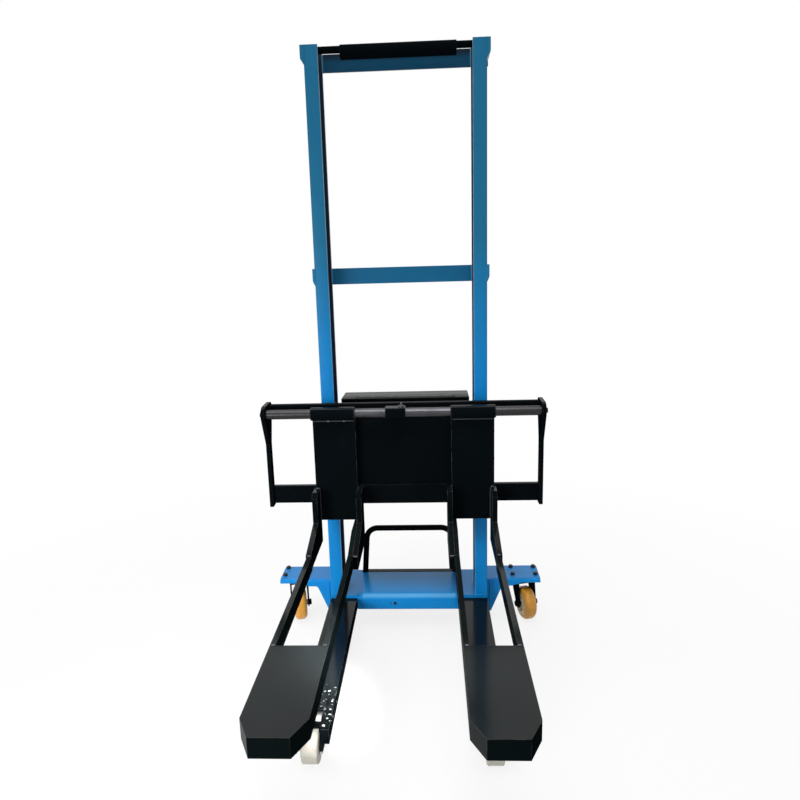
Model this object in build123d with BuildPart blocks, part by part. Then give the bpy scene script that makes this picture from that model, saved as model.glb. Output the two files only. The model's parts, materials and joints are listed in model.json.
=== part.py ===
from build123d import *
import os

os.makedirs("parts", exist_ok=True)

# Pallet stacker with a fixed mast, a lifting fork carriage, straddle legs and swivel casters.
# X is to the right, Y to the rear, Z up, in millimetres. Distances in Y are counted from the
# front faces of the mast columns, and mast_y moves them so that the origin is on the floor
# under the middle of the whole machine.

# Mast columns and crossbars
mast_height = 1646
mast_width = 470
column_face = 37
column_depth = 80
column_web = 5
column_flange = 6
crossbar_height = 45
crossbar_thickness = 6
top_bar_drop = 2
top_wing = 9
top_wing_height = 46
mid_bar_z = 1038
mid_wing = 6
wing_toe = 1
wing_taper = 13

# Rod across the column tops, and the loose sleeve that hangs on it
rod_diameter = 18
rod_y = 22
sleeve_diameter = 36
sleeve_bore = 32
sleeve_length = 300
sleeve_shift = 8
hang_gap = 0.3

# Base
base_top = 115
base_plate = 10
base_depth = 168
base_bend = 16
skirt_height = 36
skirt_thickness = 6
skirt_gap = 1
cable_hole_diameter = 6
cable_hole_x = (-56, -42)
cable_hole_drop = 26

# Caster arms
base_width = 800
arm_top = 143
arm_front = 46
arm_depth = 90
arm_plate = 6
arm_lip = 13
arm_bend = 8
cheek_thickness = 12
cheek_bottom = 37
gusset_foot = 3
gusset_reach = 37
gusset_bend = 10
apron_drop = 10
apron_reach = 65
apron_end = 98

# Casters
caster_inset = 46
caster_y = 100
caster_wheel_diameter = 100
caster_wheel_width = 38
caster_trail = 27
caster_yaw = 15
caster_plate_size = (94, 72)
caster_plate_thickness = 5
caster_bolt_spacing = (70, 50)
caster_bolt_diameter = 8
caster_plate_corner = 8
kingpin_diameter = 12
swivel_disc_diameter = 56
swivel_disc_height = 8
yoke_plate = 4
yoke_crown = 6
yoke_side_gap = 5
hub_diameter = 66
hub_recess = 9
hub_rim = 5
tyre_shoulder = 14
caster_axle_diameter = 10
axle_boss_diameter = 26
axle_nut_diameter = 18
axle_nut_height = 7

# Legs
leg_width = 78
leg_beam_width = 62
leg_top_plate = 6
leg_wall = 5
leg_bottom = 45
leg_lip_bottom = 70
leg_reach = 572
leg_bolt_diameter = 10
leg_bolt_inset = 16
leg_bolt_rear = 20
leg_bolt_spacing = 44
bolt_head_ratio = 0.85
bolt_corner_ratio = 0.8

# Tandem rollers in the legs
roller_diameter = 70
roller_width = 38
roller_chamfer = 2.5
roller_spacing = 76
bogie_inset = 73
bogie_pivot_z = 59
bogie_plate = 4
bogie_roller_gap = 1
bogie_tube_diameter = 17
bogie_pin_diameter = 12
roller_axle_diameter = 12
leg_window_depth = 66
leg_window_width = 50

# Rear hoop
hoop_width = 309
hoop_height = 273
hoop_tube = 18
hoop_taper = 11
hoop_bend = 36
hoop_foot = (18, 3)

# Lift drive
chain_inset = 12
chain_width = 9
chain_thickness = 8
chain_pitch_radius = 20
drive_z = 84
drive_y = 40
chain_rod_gap = 7
drive_shaft_diameter = 20
chain_wheel_gap = 0.3
wheel_axle_diameter = 12
bearing_diameter = 30
bearing_length = 12
chain_slot_margin = 3
gearbox_x = (-10, 60)
gearbox_y = (22, 70, 140)
gearbox_bottom = 46
gearbox_nose_bottom = 66
motor_diameter = 58
motor_length = 130
motor_y = 105

# Power box behind the mast
box_width = 376
box_depth = 100
box_z = (375, 701)
box_wall = 2
mount_height = 40
mount_thickness = 6
mount_inset = 25
panel_thickness = 3
battery_size = (200, 80, 160)
button_diameter = 24
button_x = (-90, -45)
stop_diameter = 40
stop_x = 30
key_x = 95
key_diameter = 20
control_z = 640
stem_diameter = 12
control_stand_off = 6
cap_thickness = 8
cap_round = 2.5
key_bow = 4
key_bow_height = 15
stem_tail = 18

# Fork carriage
carriage_width = 758
end_plate_thickness = 10
end_plate_bottom = 432
end_strip_depth = 28
end_taper_z = 619
fork_shaft_diameter = 26
fork_shaft_y = -100
fork_shaft_z = 699.5
shaft_head_radius = 24
rear_bar_diameter = 20
rear_bar_z = 709
rear_head_radius = 16
bottom_bar_z = 441
bottom_bar_height = 50
bottom_bar_thickness = 12
bottom_bar_front = -80
centre_plate_width = 360
centre_plate_thickness = 8
centre_plate_z = (438, 708)
side_plate_thickness = 8
side_plate_rear = 62
side_plate_z = (440, 696)
seat_gap = 0.2
guide_roller_diameter = 66
guide_roller_width = 14
guide_roller_inset = 2
guide_roller_z = (470, 670)
guide_pin_diameter = 16
lug_z = (555, 590)
lug_depth = 12
shaft_bracket_x = (-46, 8)
shaft_bracket_height = 30
shaft_bracket_round = 7
latch_x = -3
latch_diameter = 6
latch_height = 12
latch_collar = (14, 5)

# Forks
fork_spread = 376
fork_width = 116
back_plate = 10
back_bottom = 393
fork_sleeve_diameter = 36
bush_wall = 2.5
bush_flange_diameter = 33
bush_flange = 2
side_arm = 14
side_arm_overlap = 10
side_arm_top = 486
side_arm_front = -140
side_arm_foot = -264
rail_size = (12, 38)
rail_bottom = 327
rail_rear = -120
tip_box_rear = -664
fork_tip = -918
tip_chamfer = (23.5, 45)
tip_wall = 4

# Running clearances between moving pieces
running = 0.05
side_play = 0.3

# Positions that follow from the sizes above
mast_half = mast_width / 2
column_inner = mast_half - column_face
web_face = mast_half - column_web
crossbar_y = (column_depth, column_depth + crossbar_thickness)
skirt_bottom = base_top - base_plate - skirt_height
leg_top = base_top - base_plate
leg_centre = mast_half - leg_beam_width / 2
leg_inner = mast_half - leg_beam_width
lip_edge = mast_half - leg_width
skirt_half = lip_edge - skirt_gap
leg_under = leg_top - leg_top_plate
leg_bolt_x = mast_half - leg_bolt_inset
leg_bolt_far = base_depth - leg_bolt_rear
leg_bolt_y = (leg_bolt_far - leg_bolt_spacing, leg_bolt_far)
leg_window_rear = leg_window_depth - leg_reach
bogie_y = bogie_inset - leg_reach
wheel_centre = roller_diameter / 2
caster_axle_z = caster_wheel_diameter / 2
caster_x = base_width / 2 - caster_inset
arm_under = arm_top - arm_plate
caster_under = arm_under - caster_plate_thickness
chain_x = mast_half - chain_inset
chain_inner = chain_pitch_radius - chain_thickness / 2
chain_outer = chain_pitch_radius + chain_thickness / 2
rod_z = mast_height - rod_diameter / 2
sleeve_z = rod_z + rod_diameter / 2 + hang_gap - sleeve_bore / 2
top_wheel_z = rod_z - rod_diameter / 2 - chain_rod_gap - chain_outer
box_front = column_depth + mount_thickness
box_rear = box_front + box_depth
panel_rear = box_rear + panel_thickness
cap_front = panel_rear + control_stand_off
rear_reach = cap_front + 2 * cap_thickness
mast_y = (-fork_tip - rear_reach) / 2
plate_front = bottom_bar_front + bottom_bar_thickness
plate_rear = plate_front + centre_plate_thickness
rear_bar_y = plate_rear + rear_bar_diameter / 2 + seat_gap
carriage_half = carriage_width / 2
bar_half = carriage_half - end_plate_thickness
side_plate_x = centre_plate_width / 2
guide_x = column_inner + guide_roller_inset
bush_radius = fork_shaft_diameter / 2 + running + bush_wall
fork_half = fork_width / 2
back_rear = bottom_bar_front - seat_gap
sides = {"left": -1, "right": 1}


def save(piece, name):
    """Label a finished piece and write its file."""
    piece.part.label = name
    export_step(piece.part, f"parts/{name}.step")


def save_group(pieces, name):
    """Write solids that meet face to face as one node."""
    group = Compound([solid for piece in pieces for solid in piece.part.solids()], label=name)
    export_step(group, f"parts/{name}.step")


def block(x, y, z, mode=Mode.ADD):
    """A box over three spans, with y counted from the mast's front face."""
    with Locations((sum(x) / 2, mast_y + sum(y) / 2, sum(z) / 2)):
        Box(abs(x[1] - x[0]), abs(y[1] - y[0]), abs(z[1] - z[0]), mode=mode)


def bar_x(x, y, z, diameter, mode=Mode.ADD):
    """A round bar along X."""
    with Locations((sum(x) / 2, mast_y + y, z)):
        Cylinder(diameter / 2, abs(x[1] - x[0]), rotation=(0, 90, 0), mode=mode)


def bar_y(x, y, z, diameter, mode=Mode.ADD):
    """A round bar along Y."""
    with Locations((x, mast_y + sum(y) / 2, z)):
        Cylinder(diameter / 2, abs(y[1] - y[0]), rotation=(90, 0, 0), mode=mode)


def bar_z(x, y, z, diameter, mode=Mode.ADD):
    """A round bar along Z."""
    with Locations((x, mast_y + y, sum(z) / 2)):
        Cylinder(diameter / 2, abs(z[1] - z[0]), mode=mode)


def yz_plane(x):
    """The plane across the machine at x, drawn with Y from the mast's front face and Z up."""
    return Plane((x, mast_y, 0), x_dir=(0, 1, 0), z_dir=(1, 0, 0))


def mirrored(sign, near, far):
    """A span in X on one side of the machine, from its distances to the middle."""
    return (sign * near, sign * far)


# Base plate with its skirts, folded over in front between the legs
with BuildPart() as base_frame:
    block((-skirt_half, skirt_half), (0, base_depth), (leg_top, base_top))
    for y in ((0, skirt_thickness), (base_depth - skirt_thickness, base_depth)):
        block((-skirt_half, skirt_half), y, (skirt_bottom, leg_top))
    fold = (0, mast_y, base_top)
    fillet(base_frame.edges().filter_by(Axis.X).sort_by_distance(fold)[0], radius=base_bend)
    for sign in sides.values():
        block(mirrored(sign, skirt_half, mast_half), (0, base_depth), (leg_top, base_top))
        slot_half = chain_width / 2 + chain_slot_margin
        slot_reach = chain_outer + chain_slot_margin
        block(
            mirrored(sign, chain_x - slot_half, chain_x + slot_half),
            (drive_y - slot_reach, drive_y + slot_reach),
            (leg_top, base_top),
            mode=Mode.SUBTRACT,
        )
        for y in leg_bolt_y:
            bar_z(sign * leg_bolt_x, y, (leg_top, base_top), leg_bolt_diameter, Mode.SUBTRACT)
    for x in cable_hole_x:
        bar_y(x, (0, skirt_thickness), base_top - cable_hole_drop, cable_hole_diameter, Mode.SUBTRACT)
save(base_frame, "base_frame")

# Mast columns: channels that open inwards, each a web and two flanges that meet face to face
column_z = (base_top, mast_height)
flange_spans = ((0, column_flange), (column_depth - column_flange, column_depth))
for side, sign in sides.items():
    with BuildPart() as web:
        block(mirrored(sign, web_face, mast_half), (0, column_depth), column_z)
    with BuildPart() as flanges:
        for y in flange_spans:
            block(mirrored(sign, column_inner, web_face), y, column_z)
    save_group((web, flanges), f"{side}_column")

# Crossbars behind the columns, with wings along the columns' outer sides
mid_bar_top = mid_bar_z + crossbar_height
crossbars = {
    "top_crossbar": (mast_height - top_bar_drop, top_wing, mast_height - top_wing_height, mast_height),
    "mid_crossbar": (mid_bar_top, mid_wing, mid_bar_z, mid_bar_top),
}
for name, (bar_top, wing, wing_bottom, wing_top) in crossbars.items():
    with BuildPart() as crossbar:
        half = mast_half + wing
        block((-half, half), crossbar_y, (bar_top - crossbar_height, bar_top))
        for sign in sides.values():
            wing_outline = [
                (sign * mast_half, wing_bottom),
                (sign * (mast_half + wing_toe), wing_bottom),
                (sign * half, wing_bottom + wing_taper),
                (sign * half, wing_top),
                (sign * mast_half, wing_top),
            ]
            with BuildSketch(Plane.XZ.offset(-(mast_y + crossbar_y[1]))):
                with BuildLine():
                    Polyline(*wing_outline, close=True)
                make_face()
            extrude(amount=crossbar_y[1])
    save(crossbar, name)

# Rod between the column webs, and the sleeve that hangs on it
with BuildPart() as top_rod:
    bar_x((-web_face, web_face), rod_y, rod_z, rod_diameter)
save(top_rod, "top_rod")

with BuildPart() as top_sleeve:
    sleeve_span = (sleeve_shift - sleeve_length / 2, sleeve_shift + sleeve_length / 2)
    bar_x(sleeve_span, rod_y, sleeve_z, sleeve_diameter)
    bar_x(sleeve_span, rod_y, sleeve_z, sleeve_bore, Mode.SUBTRACT)
save(top_sleeve, "top_sleeve")

# Caster arms: a folded plate, a cheek along the leg and two gussets, the front one with an apron
arm_rear = arm_front + arm_depth
lip_bottom = arm_top - arm_lip
apron_bottom = lip_bottom - apron_drop
gusset_outline = [(0, cheek_bottom), (gusset_foot, cheek_bottom), (gusset_reach, apron_bottom)]
gusset_outlines = {
    arm_front: gusset_outline + [(apron_reach, apron_bottom), (apron_end, lip_bottom), (0, lip_bottom)],
    arm_rear - arm_plate: gusset_outline + [(gusset_reach, lip_bottom), (0, lip_bottom)],
}
for side, sign in sides.items():
    cheek_outer = mast_half + cheek_thickness
    arm_end = base_width / 2
    with BuildPart() as caster_arm:
        block(mirrored(sign, cheek_outer, arm_end), (arm_front, arm_rear), (arm_under, arm_top))
        lip_span = (arm_front, arm_front + arm_plate)
        block(mirrored(sign, cheek_outer, arm_end), lip_span, (lip_bottom, arm_under))
        fold = (sign * arm_end, mast_y + arm_front, arm_top)
        fillet(caster_arm.edges().filter_by(Axis.X).sort_by_distance(fold)[0], radius=arm_bend)
        cheek_x = mirrored(sign, mast_half, cheek_outer)
        block(cheek_x, (arm_front, base_depth), (cheek_bottom, arm_top))
        for front, outline in gusset_outlines.items():
            with BuildSketch(Plane.XZ.offset(-(mast_y + front + arm_plate))) as gusset:
                with BuildLine():
                    Polyline(*[(sign * (cheek_outer + x), z) for x, z in outline], close=True)
                make_face()
                bend = (sign * (cheek_outer + gusset_reach), apron_bottom)
                fillet(gusset.vertices().sort_by_distance(bend)[0], radius=gusset_bend)
            extrude(amount=arm_plate)
        with Locations((sign * caster_x, mast_y + caster_y, arm_top - arm_plate / 2)):
            with GridLocations(*caster_bolt_spacing, 2, 2):
                Cylinder(caster_bolt_diameter / 2, arm_plate, mode=Mode.SUBTRACT)
    save(caster_arm, f"{side}_caster_arm")

# Caster top plates
with BuildPart() as caster_plates:
    for sign in sides.values():
        with BuildSketch(Plane.XY.offset(caster_under)):
            with Locations((sign * caster_x, mast_y + caster_y)):
                RectangleRounded(*caster_plate_size, caster_plate_corner)
                Circle(kingpin_diameter / 2 + running, mode=Mode.SUBTRACT)
                with GridLocations(*caster_bolt_spacing, 2, 2):
                    Circle(caster_bolt_diameter / 2, mode=Mode.SUBTRACT)
        extrude(amount=caster_plate_thickness)
save(caster_plates, "caster_plates")

# Bolts of the casters and the legs: a hexagon head, a shank and a nut below
bolt_sets = []
for sign in sides.values():
    bolt_half_x, bolt_half_y = (spacing / 2 for spacing in caster_bolt_spacing)
    caster_spots = []
    for x in (sign * caster_x - bolt_half_x, sign * caster_x + bolt_half_x):
        for y in (caster_y - bolt_half_y, caster_y + bolt_half_y):
            caster_spots.append((x, mast_y + y))
    leg_spots = [(sign * leg_bolt_x, mast_y + y) for y in leg_bolt_y]
    bolt_sets.append((caster_spots, caster_bolt_diameter, caster_under, arm_top))
    bolt_sets.append((leg_spots, leg_bolt_diameter, leg_under, base_top))
with BuildPart() as frame_bolts:
    for places, diameter, under, top in bolt_sets:
        head = diameter * bolt_head_ratio
        for z in (under - head, top):
            with BuildSketch(Plane.XY.offset(z)):
                with Locations(*places):
                    RegularPolygon(diameter * bolt_corner_ratio, 6)
            extrude(amount=head)
        with BuildSketch(Plane.XY.offset(under)):
            with Locations(*places):
                Circle(diameter / 2)
        extrude(amount=top - under)
save(frame_bolts, "frame_bolts")

# Casters: the yoke turns on its kingpin, and the wheel turns on the axle
axle_way = Vector(1, 0, 0).rotate(Axis.Z, caster_yaw)
trail_way = Vector(0, 1, 0).rotate(Axis.Z, caster_yaw)
disc_top = caster_under - side_play
crown_top = disc_top - swivel_disc_height
crown_bottom = crown_top - yoke_crown
crown_length = swivel_disc_diameter + caster_trail / 2
yoke_inner = caster_wheel_width / 2 + yoke_side_gap
yoke_outer = yoke_inner + yoke_plate
axle_radius = caster_axle_diameter / 2
axle_spot = (-caster_trail, caster_axle_z)
wheel_half = caster_wheel_width / 2
hub_radius = hub_diameter / 2


def caster_plane(sign, x):
    """The plane at x along a caster's axle, drawn with the trail along its first axis."""
    origin = Vector(sign * caster_x, mast_y + caster_y, 0) + axle_way * x
    return Plane(origin, x_dir=trail_way, z_dir=axle_way)


def swivel_plane(sign, z):
    """The level plane at z under a caster's top plate, turned with the caster."""
    return Plane((sign * caster_x, mast_y + caster_y, z), x_dir=axle_way, z_dir=(0, 0, 1))


for side, sign in sides.items():
    with BuildPart() as yoke:
        with BuildSketch(swivel_plane(sign, crown_bottom)):
            RectangleRounded(2 * yoke_outer, crown_length, yoke_crown)
        extrude(amount=yoke_crown)
        with BuildSketch(swivel_plane(sign, crown_top)):
            Circle(swivel_disc_diameter / 2)
        extrude(amount=swivel_disc_height)
        with BuildSketch(swivel_plane(sign, disc_top)):
            Circle(kingpin_diameter / 2)
        extrude(amount=arm_under - disc_top)
        for x in (-yoke_outer, yoke_inner):
            with BuildSketch(caster_plane(sign, x)):
                with Locations(axle_spot):
                    Circle(axle_boss_diameter / 2)
                with Locations((0, crown_top - yoke_crown / 2)):
                    Rectangle(crown_length - 2 * yoke_crown, yoke_crown)
                make_hull()
            extrude(amount=yoke_plate)
        axle_end = yoke_outer + axle_nut_height
        with BuildSketch(caster_plane(sign, -axle_end)):
            with Locations(axle_spot):
                Circle(axle_radius)
        extrude(amount=2 * axle_end)
        for x in (-axle_end, yoke_outer):
            with BuildSketch(caster_plane(sign, x)):
                with Locations(axle_spot):
                    RegularPolygon(axle_nut_diameter / 2, 6)
            extrude(amount=axle_nut_height)
    save(yoke, f"{side}_caster_yoke")

    with BuildPart() as hub:
        with BuildSketch(caster_plane(sign, -wheel_half)):
            with Locations(axle_spot):
                Circle(hub_radius)
                Circle(axle_radius + running, mode=Mode.SUBTRACT)
        extrude(amount=caster_wheel_width)
        for x in (-wheel_half, wheel_half - hub_recess):
            with BuildSketch(caster_plane(sign, x)):
                with Locations(axle_spot):
                    Circle(hub_radius - hub_rim)
                    Circle(axle_boss_diameter / 2, mode=Mode.SUBTRACT)
            extrude(amount=hub_recess, mode=Mode.SUBTRACT)
    save(hub, f"{side}_caster_hub")

    with BuildPart() as tyre:
        with BuildSketch(caster_plane(sign, -wheel_half)):
            with Locations(axle_spot):
                Circle(caster_wheel_diameter / 2)
                Circle(hub_radius, mode=Mode.SUBTRACT)
        extrude(amount=caster_wheel_width)
        rim = tyre.edges().filter_by(GeomType.CIRCLE).group_by(SortBy.RADIUS)[-1]
        fillet(rim, radius=tyre_shoulder)
    save(tyre, f"{side}_caster_tyre")

# Straddle legs: folded beams, open below, with a window over the rollers
roller_inner = roller_width / 2 + bogie_roller_gap
for side, sign in sides.items():
    with BuildPart() as leg:
        leg_span = (-leg_reach, base_depth)
        top_span = (leg_under, leg_top)
        block(mirrored(sign, lip_edge, mast_half), leg_span, top_span)
        for inner in (leg_inner, mast_half - leg_wall):
            block(mirrored(sign, inner, inner + leg_wall), leg_span, (leg_bottom, leg_under))
        block(mirrored(sign, lip_edge, lip_edge + leg_wall), leg_span, (leg_lip_bottom, leg_under))
        nose_span = (-leg_reach, leg_wall - leg_reach)
        block(mirrored(sign, lip_edge, leg_inner), nose_span, (leg_lip_bottom, leg_under))
        window_half = leg_window_width / 2
        window_x = mirrored(sign, leg_centre - window_half, leg_centre + window_half)
        block(window_x, (-leg_reach, leg_window_rear), top_span, Mode.SUBTRACT)
        slot_half = chain_width / 2 + chain_slot_margin / 2
        slot_reach = chain_outer + chain_slot_margin
        slot_x = mirrored(sign, chain_x - slot_half, chain_x + slot_half)
        block(slot_x, (drive_y - slot_reach, drive_y + slot_reach), top_span, Mode.SUBTRACT)
        beam_x = mirrored(sign, leg_inner, mast_half)
        bar_x(beam_x, bogie_y, bogie_pivot_z, bogie_pin_diameter + 2 * running, Mode.SUBTRACT)
        inner_walls = mirrored(sign, lip_edge, leg_inner + leg_wall)
        bar_x(inner_walls, drive_y, drive_z, bearing_diameter + 2 * running, Mode.SUBTRACT)
        for y in leg_bolt_y:
            bar_z(sign * leg_bolt_x, y, top_span, leg_bolt_diameter, Mode.SUBTRACT)
    save(leg, f"{side}_leg")

with BuildPart() as bogie_pins:
    for sign in sides.values():
        bar_x(mirrored(sign, leg_inner, mast_half), bogie_y, bogie_pivot_z, bogie_pin_diameter)
save(bogie_pins, "bogie_pins")

# Rocking bogies with two rollers each
for side, sign in sides.items():
    centre = sign * leg_centre
    bogie_half = roller_inner + bogie_plate
    bogie_span = (centre - bogie_half, centre + bogie_half)
    roller_places = (bogie_y - roller_spacing / 2, bogie_y + roller_spacing / 2)
    with BuildPart() as bogie:
        for x in (centre - bogie_half, centre + roller_inner):
            with BuildSketch(yz_plane(x)):
                for y in roller_places:
                    with Locations((y, wheel_centre)):
                        Circle(roller_axle_diameter)
                with Locations((bogie_y, bogie_pivot_z)):
                    Circle(bogie_pin_diameter)
                make_hull()
            extrude(amount=bogie_plate)
        bar_x(bogie_span, bogie_y, bogie_pivot_z, bogie_tube_diameter)
        bar_x(bogie_span, bogie_y, bogie_pivot_z, bogie_pin_diameter + 2 * running, Mode.SUBTRACT)
        for y in roller_places:
            bar_x(bogie_span, y, wheel_centre, roller_axle_diameter, Mode.SUBTRACT)
    save(bogie, f"{side}_bogie")

    with BuildPart() as roller_axles:
        for y in roller_places:
            bar_x(bogie_span, y, wheel_centre, roller_axle_diameter)
    save(roller_axles, f"{side}_roller_axles")

    for name, y in zip(("front", "rear"), roller_places):
        with BuildPart() as roller:
            span = (centre - roller_width / 2, centre + roller_width / 2)
            bar_x(span, y, wheel_centre, roller_diameter)
            chamfer(roller.edges().filter_by(GeomType.CIRCLE), length=roller_chamfer)
            bar_x(span, y, wheel_centre, roller_axle_diameter + 2 * running, Mode.SUBTRACT)
        save(roller, f"{side}_{name}_roller")

# Hoop on a foot bar along the rear edge of the base
with BuildPart() as guard_hoop:
    foot_depth, foot_height = hoop_foot
    hoop_y = base_depth - foot_depth / 2
    hoop_x = (hoop_width - hoop_tube) / 2
    foot_span = (base_top, base_top + foot_height)
    foot_middle = sum(foot_span) / 2
    hoop_top = hoop_height - hoop_tube / 2
    top_x = hoop_x - hoop_taper
    block((-hoop_width / 2, hoop_width / 2), (base_depth - foot_depth, base_depth), foot_span)
    with BuildLine() as hoop_path:
        hoop_corners = [(-hoop_x, foot_middle), (-top_x, hoop_top), (top_x, hoop_top), (hoop_x, foot_middle)]
        FilletPolyline(*[(x, mast_y + hoop_y, z) for x, z in hoop_corners], radius=hoop_bend)
    with BuildSketch(Plane(hoop_path.line @ 0, z_dir=hoop_path.line % 0)):
        Circle(hoop_tube / 2)
    sweep(path=hoop_path.line)
save(guard_hoop, "guard_hoop")

# Gearmotor under the base plate
with BuildPart() as gearmotor:
    nose_front, body_front, body_rear = gearbox_y
    block(gearbox_x, (nose_front, body_front), (gearbox_nose_bottom, leg_top))
    block(gearbox_x, (body_front, body_rear), (gearbox_bottom, leg_top))
    motor_z = gearbox_bottom + motor_diameter / 2
    bar_x((gearbox_x[0] - motor_length, gearbox_x[0]), motor_y, motor_z, motor_diameter)
    bar_x(gearbox_x, drive_y, drive_z, drive_shaft_diameter + 2 * running, Mode.SUBTRACT)
save(gearmotor, "gearmotor")

# Cross shaft with a chain wheel at each end
wheel_radius = chain_inner - chain_wheel_gap
with BuildPart() as drive_shaft:
    shaft_end = chain_x + chain_width / 2
    bar_x((-shaft_end, shaft_end), drive_y, drive_z, drive_shaft_diameter)
    for sign in sides.values():
        wheel_span = mirrored(sign, chain_x - chain_width / 2, shaft_end)
        bar_x(wheel_span, drive_y, drive_z, 2 * wheel_radius)
save(drive_shaft, "drive_shaft")

with BuildPart() as shaft_bearings:
    for sign in sides.values():
        wall_middle = leg_inner + leg_wall / 2
        span = mirrored(sign, wall_middle - bearing_length / 2, wall_middle + bearing_length / 2)
        bar_x(span, drive_y, drive_z, bearing_diameter)
        bar_x(span, drive_y, drive_z, drive_shaft_diameter + 2 * running, Mode.SUBTRACT)
save(shaft_bearings, "shaft_bearings")

# Upper chain wheels on stub axles in the column webs
with BuildPart() as top_wheel_axles:
    for sign in sides.values():
        axle_span = mirrored(sign, chain_x - chain_width / 2, mast_half - column_web)
        bar_x(axle_span, drive_y, top_wheel_z, wheel_axle_diameter)
save(top_wheel_axles, "top_wheel_axles")

for side, sign in sides.items():
    with BuildPart() as top_wheel:
        wheel_span = mirrored(sign, chain_x - chain_width / 2, chain_x + chain_width / 2)
        bar_x(wheel_span, drive_y, top_wheel_z, 2 * wheel_radius)
        bar_x(wheel_span, drive_y, top_wheel_z, wheel_axle_diameter + 2 * running, Mode.SUBTRACT)
    save(top_wheel, f"{side}_top_chain_wheel")

# Endless lift chains, each two straight runs and two half turns that meet face to face
chain_runs = ((drive_y - chain_outer, drive_y - chain_inner), (drive_y + chain_inner, drive_y + chain_outer))
with BuildPart() as runs:
    for sign in sides.values():
        for y in chain_runs:
            block(mirrored(sign, chain_x - chain_width / 2, chain_x + chain_width / 2), y, (drive_z, top_wheel_z))
with BuildPart() as turns:
    for sign in sides.values():
        with BuildSketch(yz_plane(sign * chain_x - chain_width / 2)):
            for turn_z, away in ((drive_z, -1), (top_wheel_z, 1)):
                with Locations((drive_y, turn_z)):
                    Circle(chain_outer)
                    Circle(chain_inner, mode=Mode.SUBTRACT)
                with Locations((drive_y, turn_z - away * chain_outer / 2)):
                    Rectangle(2 * chain_outer, chain_outer, mode=Mode.SUBTRACT)
        extrude(amount=chain_width)
save_group((runs, turns), "lift_chains")

# Power box on two rails behind the columns
box_bottom, box_top = box_z
with BuildPart() as power_box:
    block((-box_width / 2, box_width / 2), (box_front, box_rear), box_z)
    block(
        (box_wall - box_width / 2, box_width / 2 - box_wall),
        (box_front + box_wall, box_rear),
        (box_bottom + box_wall, box_top - box_wall),
        mode=Mode.SUBTRACT,
    )
    for z in (box_bottom + mount_inset, box_top - mount_inset - mount_height):
        block((-mast_half, mast_half), (column_depth, box_front), (z, z + mount_height))
save(power_box, "power_box")

controls = {
    "up_button": (button_x[0], button_diameter, cap_thickness),
    "down_button": (button_x[1], button_diameter, cap_thickness),
    "stop_button": (stop_x, stop_diameter, 2 * cap_thickness),
    "key_switch": (key_x, key_diameter, cap_thickness),
}
with BuildPart() as control_panel:
    block((-box_width / 2, box_width / 2), (box_rear, panel_rear), box_z)
    for x, _, _ in controls.values():
        bar_y(x, (box_rear, panel_rear), control_z, stem_diameter + 2 * running, Mode.SUBTRACT)
save(control_panel, "control_panel")

for name, (x, diameter, thickness) in controls.items():
    with BuildPart() as control:
        bar_y(x, (panel_rear - stem_tail, cap_front), control_z, stem_diameter)
        bar_y(x, (cap_front, cap_front + thickness), control_z, diameter)
        rim = control.edges().filter_by(GeomType.CIRCLE).sort_by(Axis.Y)[-1]
        fillet(rim, radius=cap_round)
        if name == "key_switch":
            bow_y = (cap_front + thickness, cap_front + 2 * thickness)
            bow_z = (control_z - key_bow_height / 2, control_z + key_bow_height / 2)
            block((x - key_bow / 2, x + key_bow / 2), bow_y, bow_z)
    save(control, name)

with BuildPart() as battery:
    battery_width, battery_depth, battery_height = battery_size
    battery_front = box_front + box_wall
    floor_z = box_bottom + box_wall
    battery_span = (battery_front, battery_front + battery_depth)
    block((-battery_width / 2, battery_width / 2), battery_span, (floor_z, floor_z + battery_height))
save(battery, "battery")

# Carriage frame: end plates, rear top bar and bottom bar
with BuildPart() as carriage_frame:
    bottom_span = (bottom_bar_front, plate_front)
    block((-bar_half, bar_half), bottom_span, (bottom_bar_z, bottom_bar_z + bottom_bar_height))
    bar_x((-bar_half, bar_half), rear_bar_y, rear_bar_z, rear_bar_diameter)
    strip_centre = sum(bottom_span) / 2
    strip_height = fork_shaft_z - end_plate_bottom
    for x in (-carriage_half, bar_half):
        with BuildSketch(yz_plane(x)):
            with Locations((fork_shaft_y, fork_shaft_z)):
                Circle(shaft_head_radius)
            with Locations((rear_bar_y, rear_bar_z)):
                Circle(rear_head_radius)
            with Locations((strip_centre, end_taper_z)):
                Rectangle(end_strip_depth, end_plate_thickness)
            make_hull()
            with Locations((strip_centre, end_plate_bottom + strip_height / 2)):
                Rectangle(end_strip_depth, strip_height)
        extrude(amount=end_plate_thickness)
save(carriage_frame, "carriage_frame")

with BuildPart() as fork_shaft:
    bar_x((-bar_half, bar_half), fork_shaft_y, fork_shaft_z, fork_shaft_diameter)
save(fork_shaft, "fork_shaft")

# Centre plate with side plates for the guide rollers and lugs for the chains
with BuildPart() as centre_plate:
    block((-side_plate_x, side_plate_x), (plate_front, plate_rear), centre_plate_z)
    for sign in sides.values():
        inner = side_plate_x - side_plate_thickness
        block(mirrored(sign, inner, side_plate_x), (plate_rear, side_plate_rear), side_plate_z)
        lug_end = chain_x - chain_width / 2 - side_play
        lug_y = drive_y - chain_pitch_radius
        block(mirrored(sign, side_plate_x, lug_end), (lug_y - lug_depth / 2, lug_y + lug_depth / 2), lug_z)
        for z in guide_roller_z:
            bar_x(mirrored(sign, inner, side_plate_x), drive_y, z, guide_pin_diameter, Mode.SUBTRACT)
save(centre_plate, "centre_plate")

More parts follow.
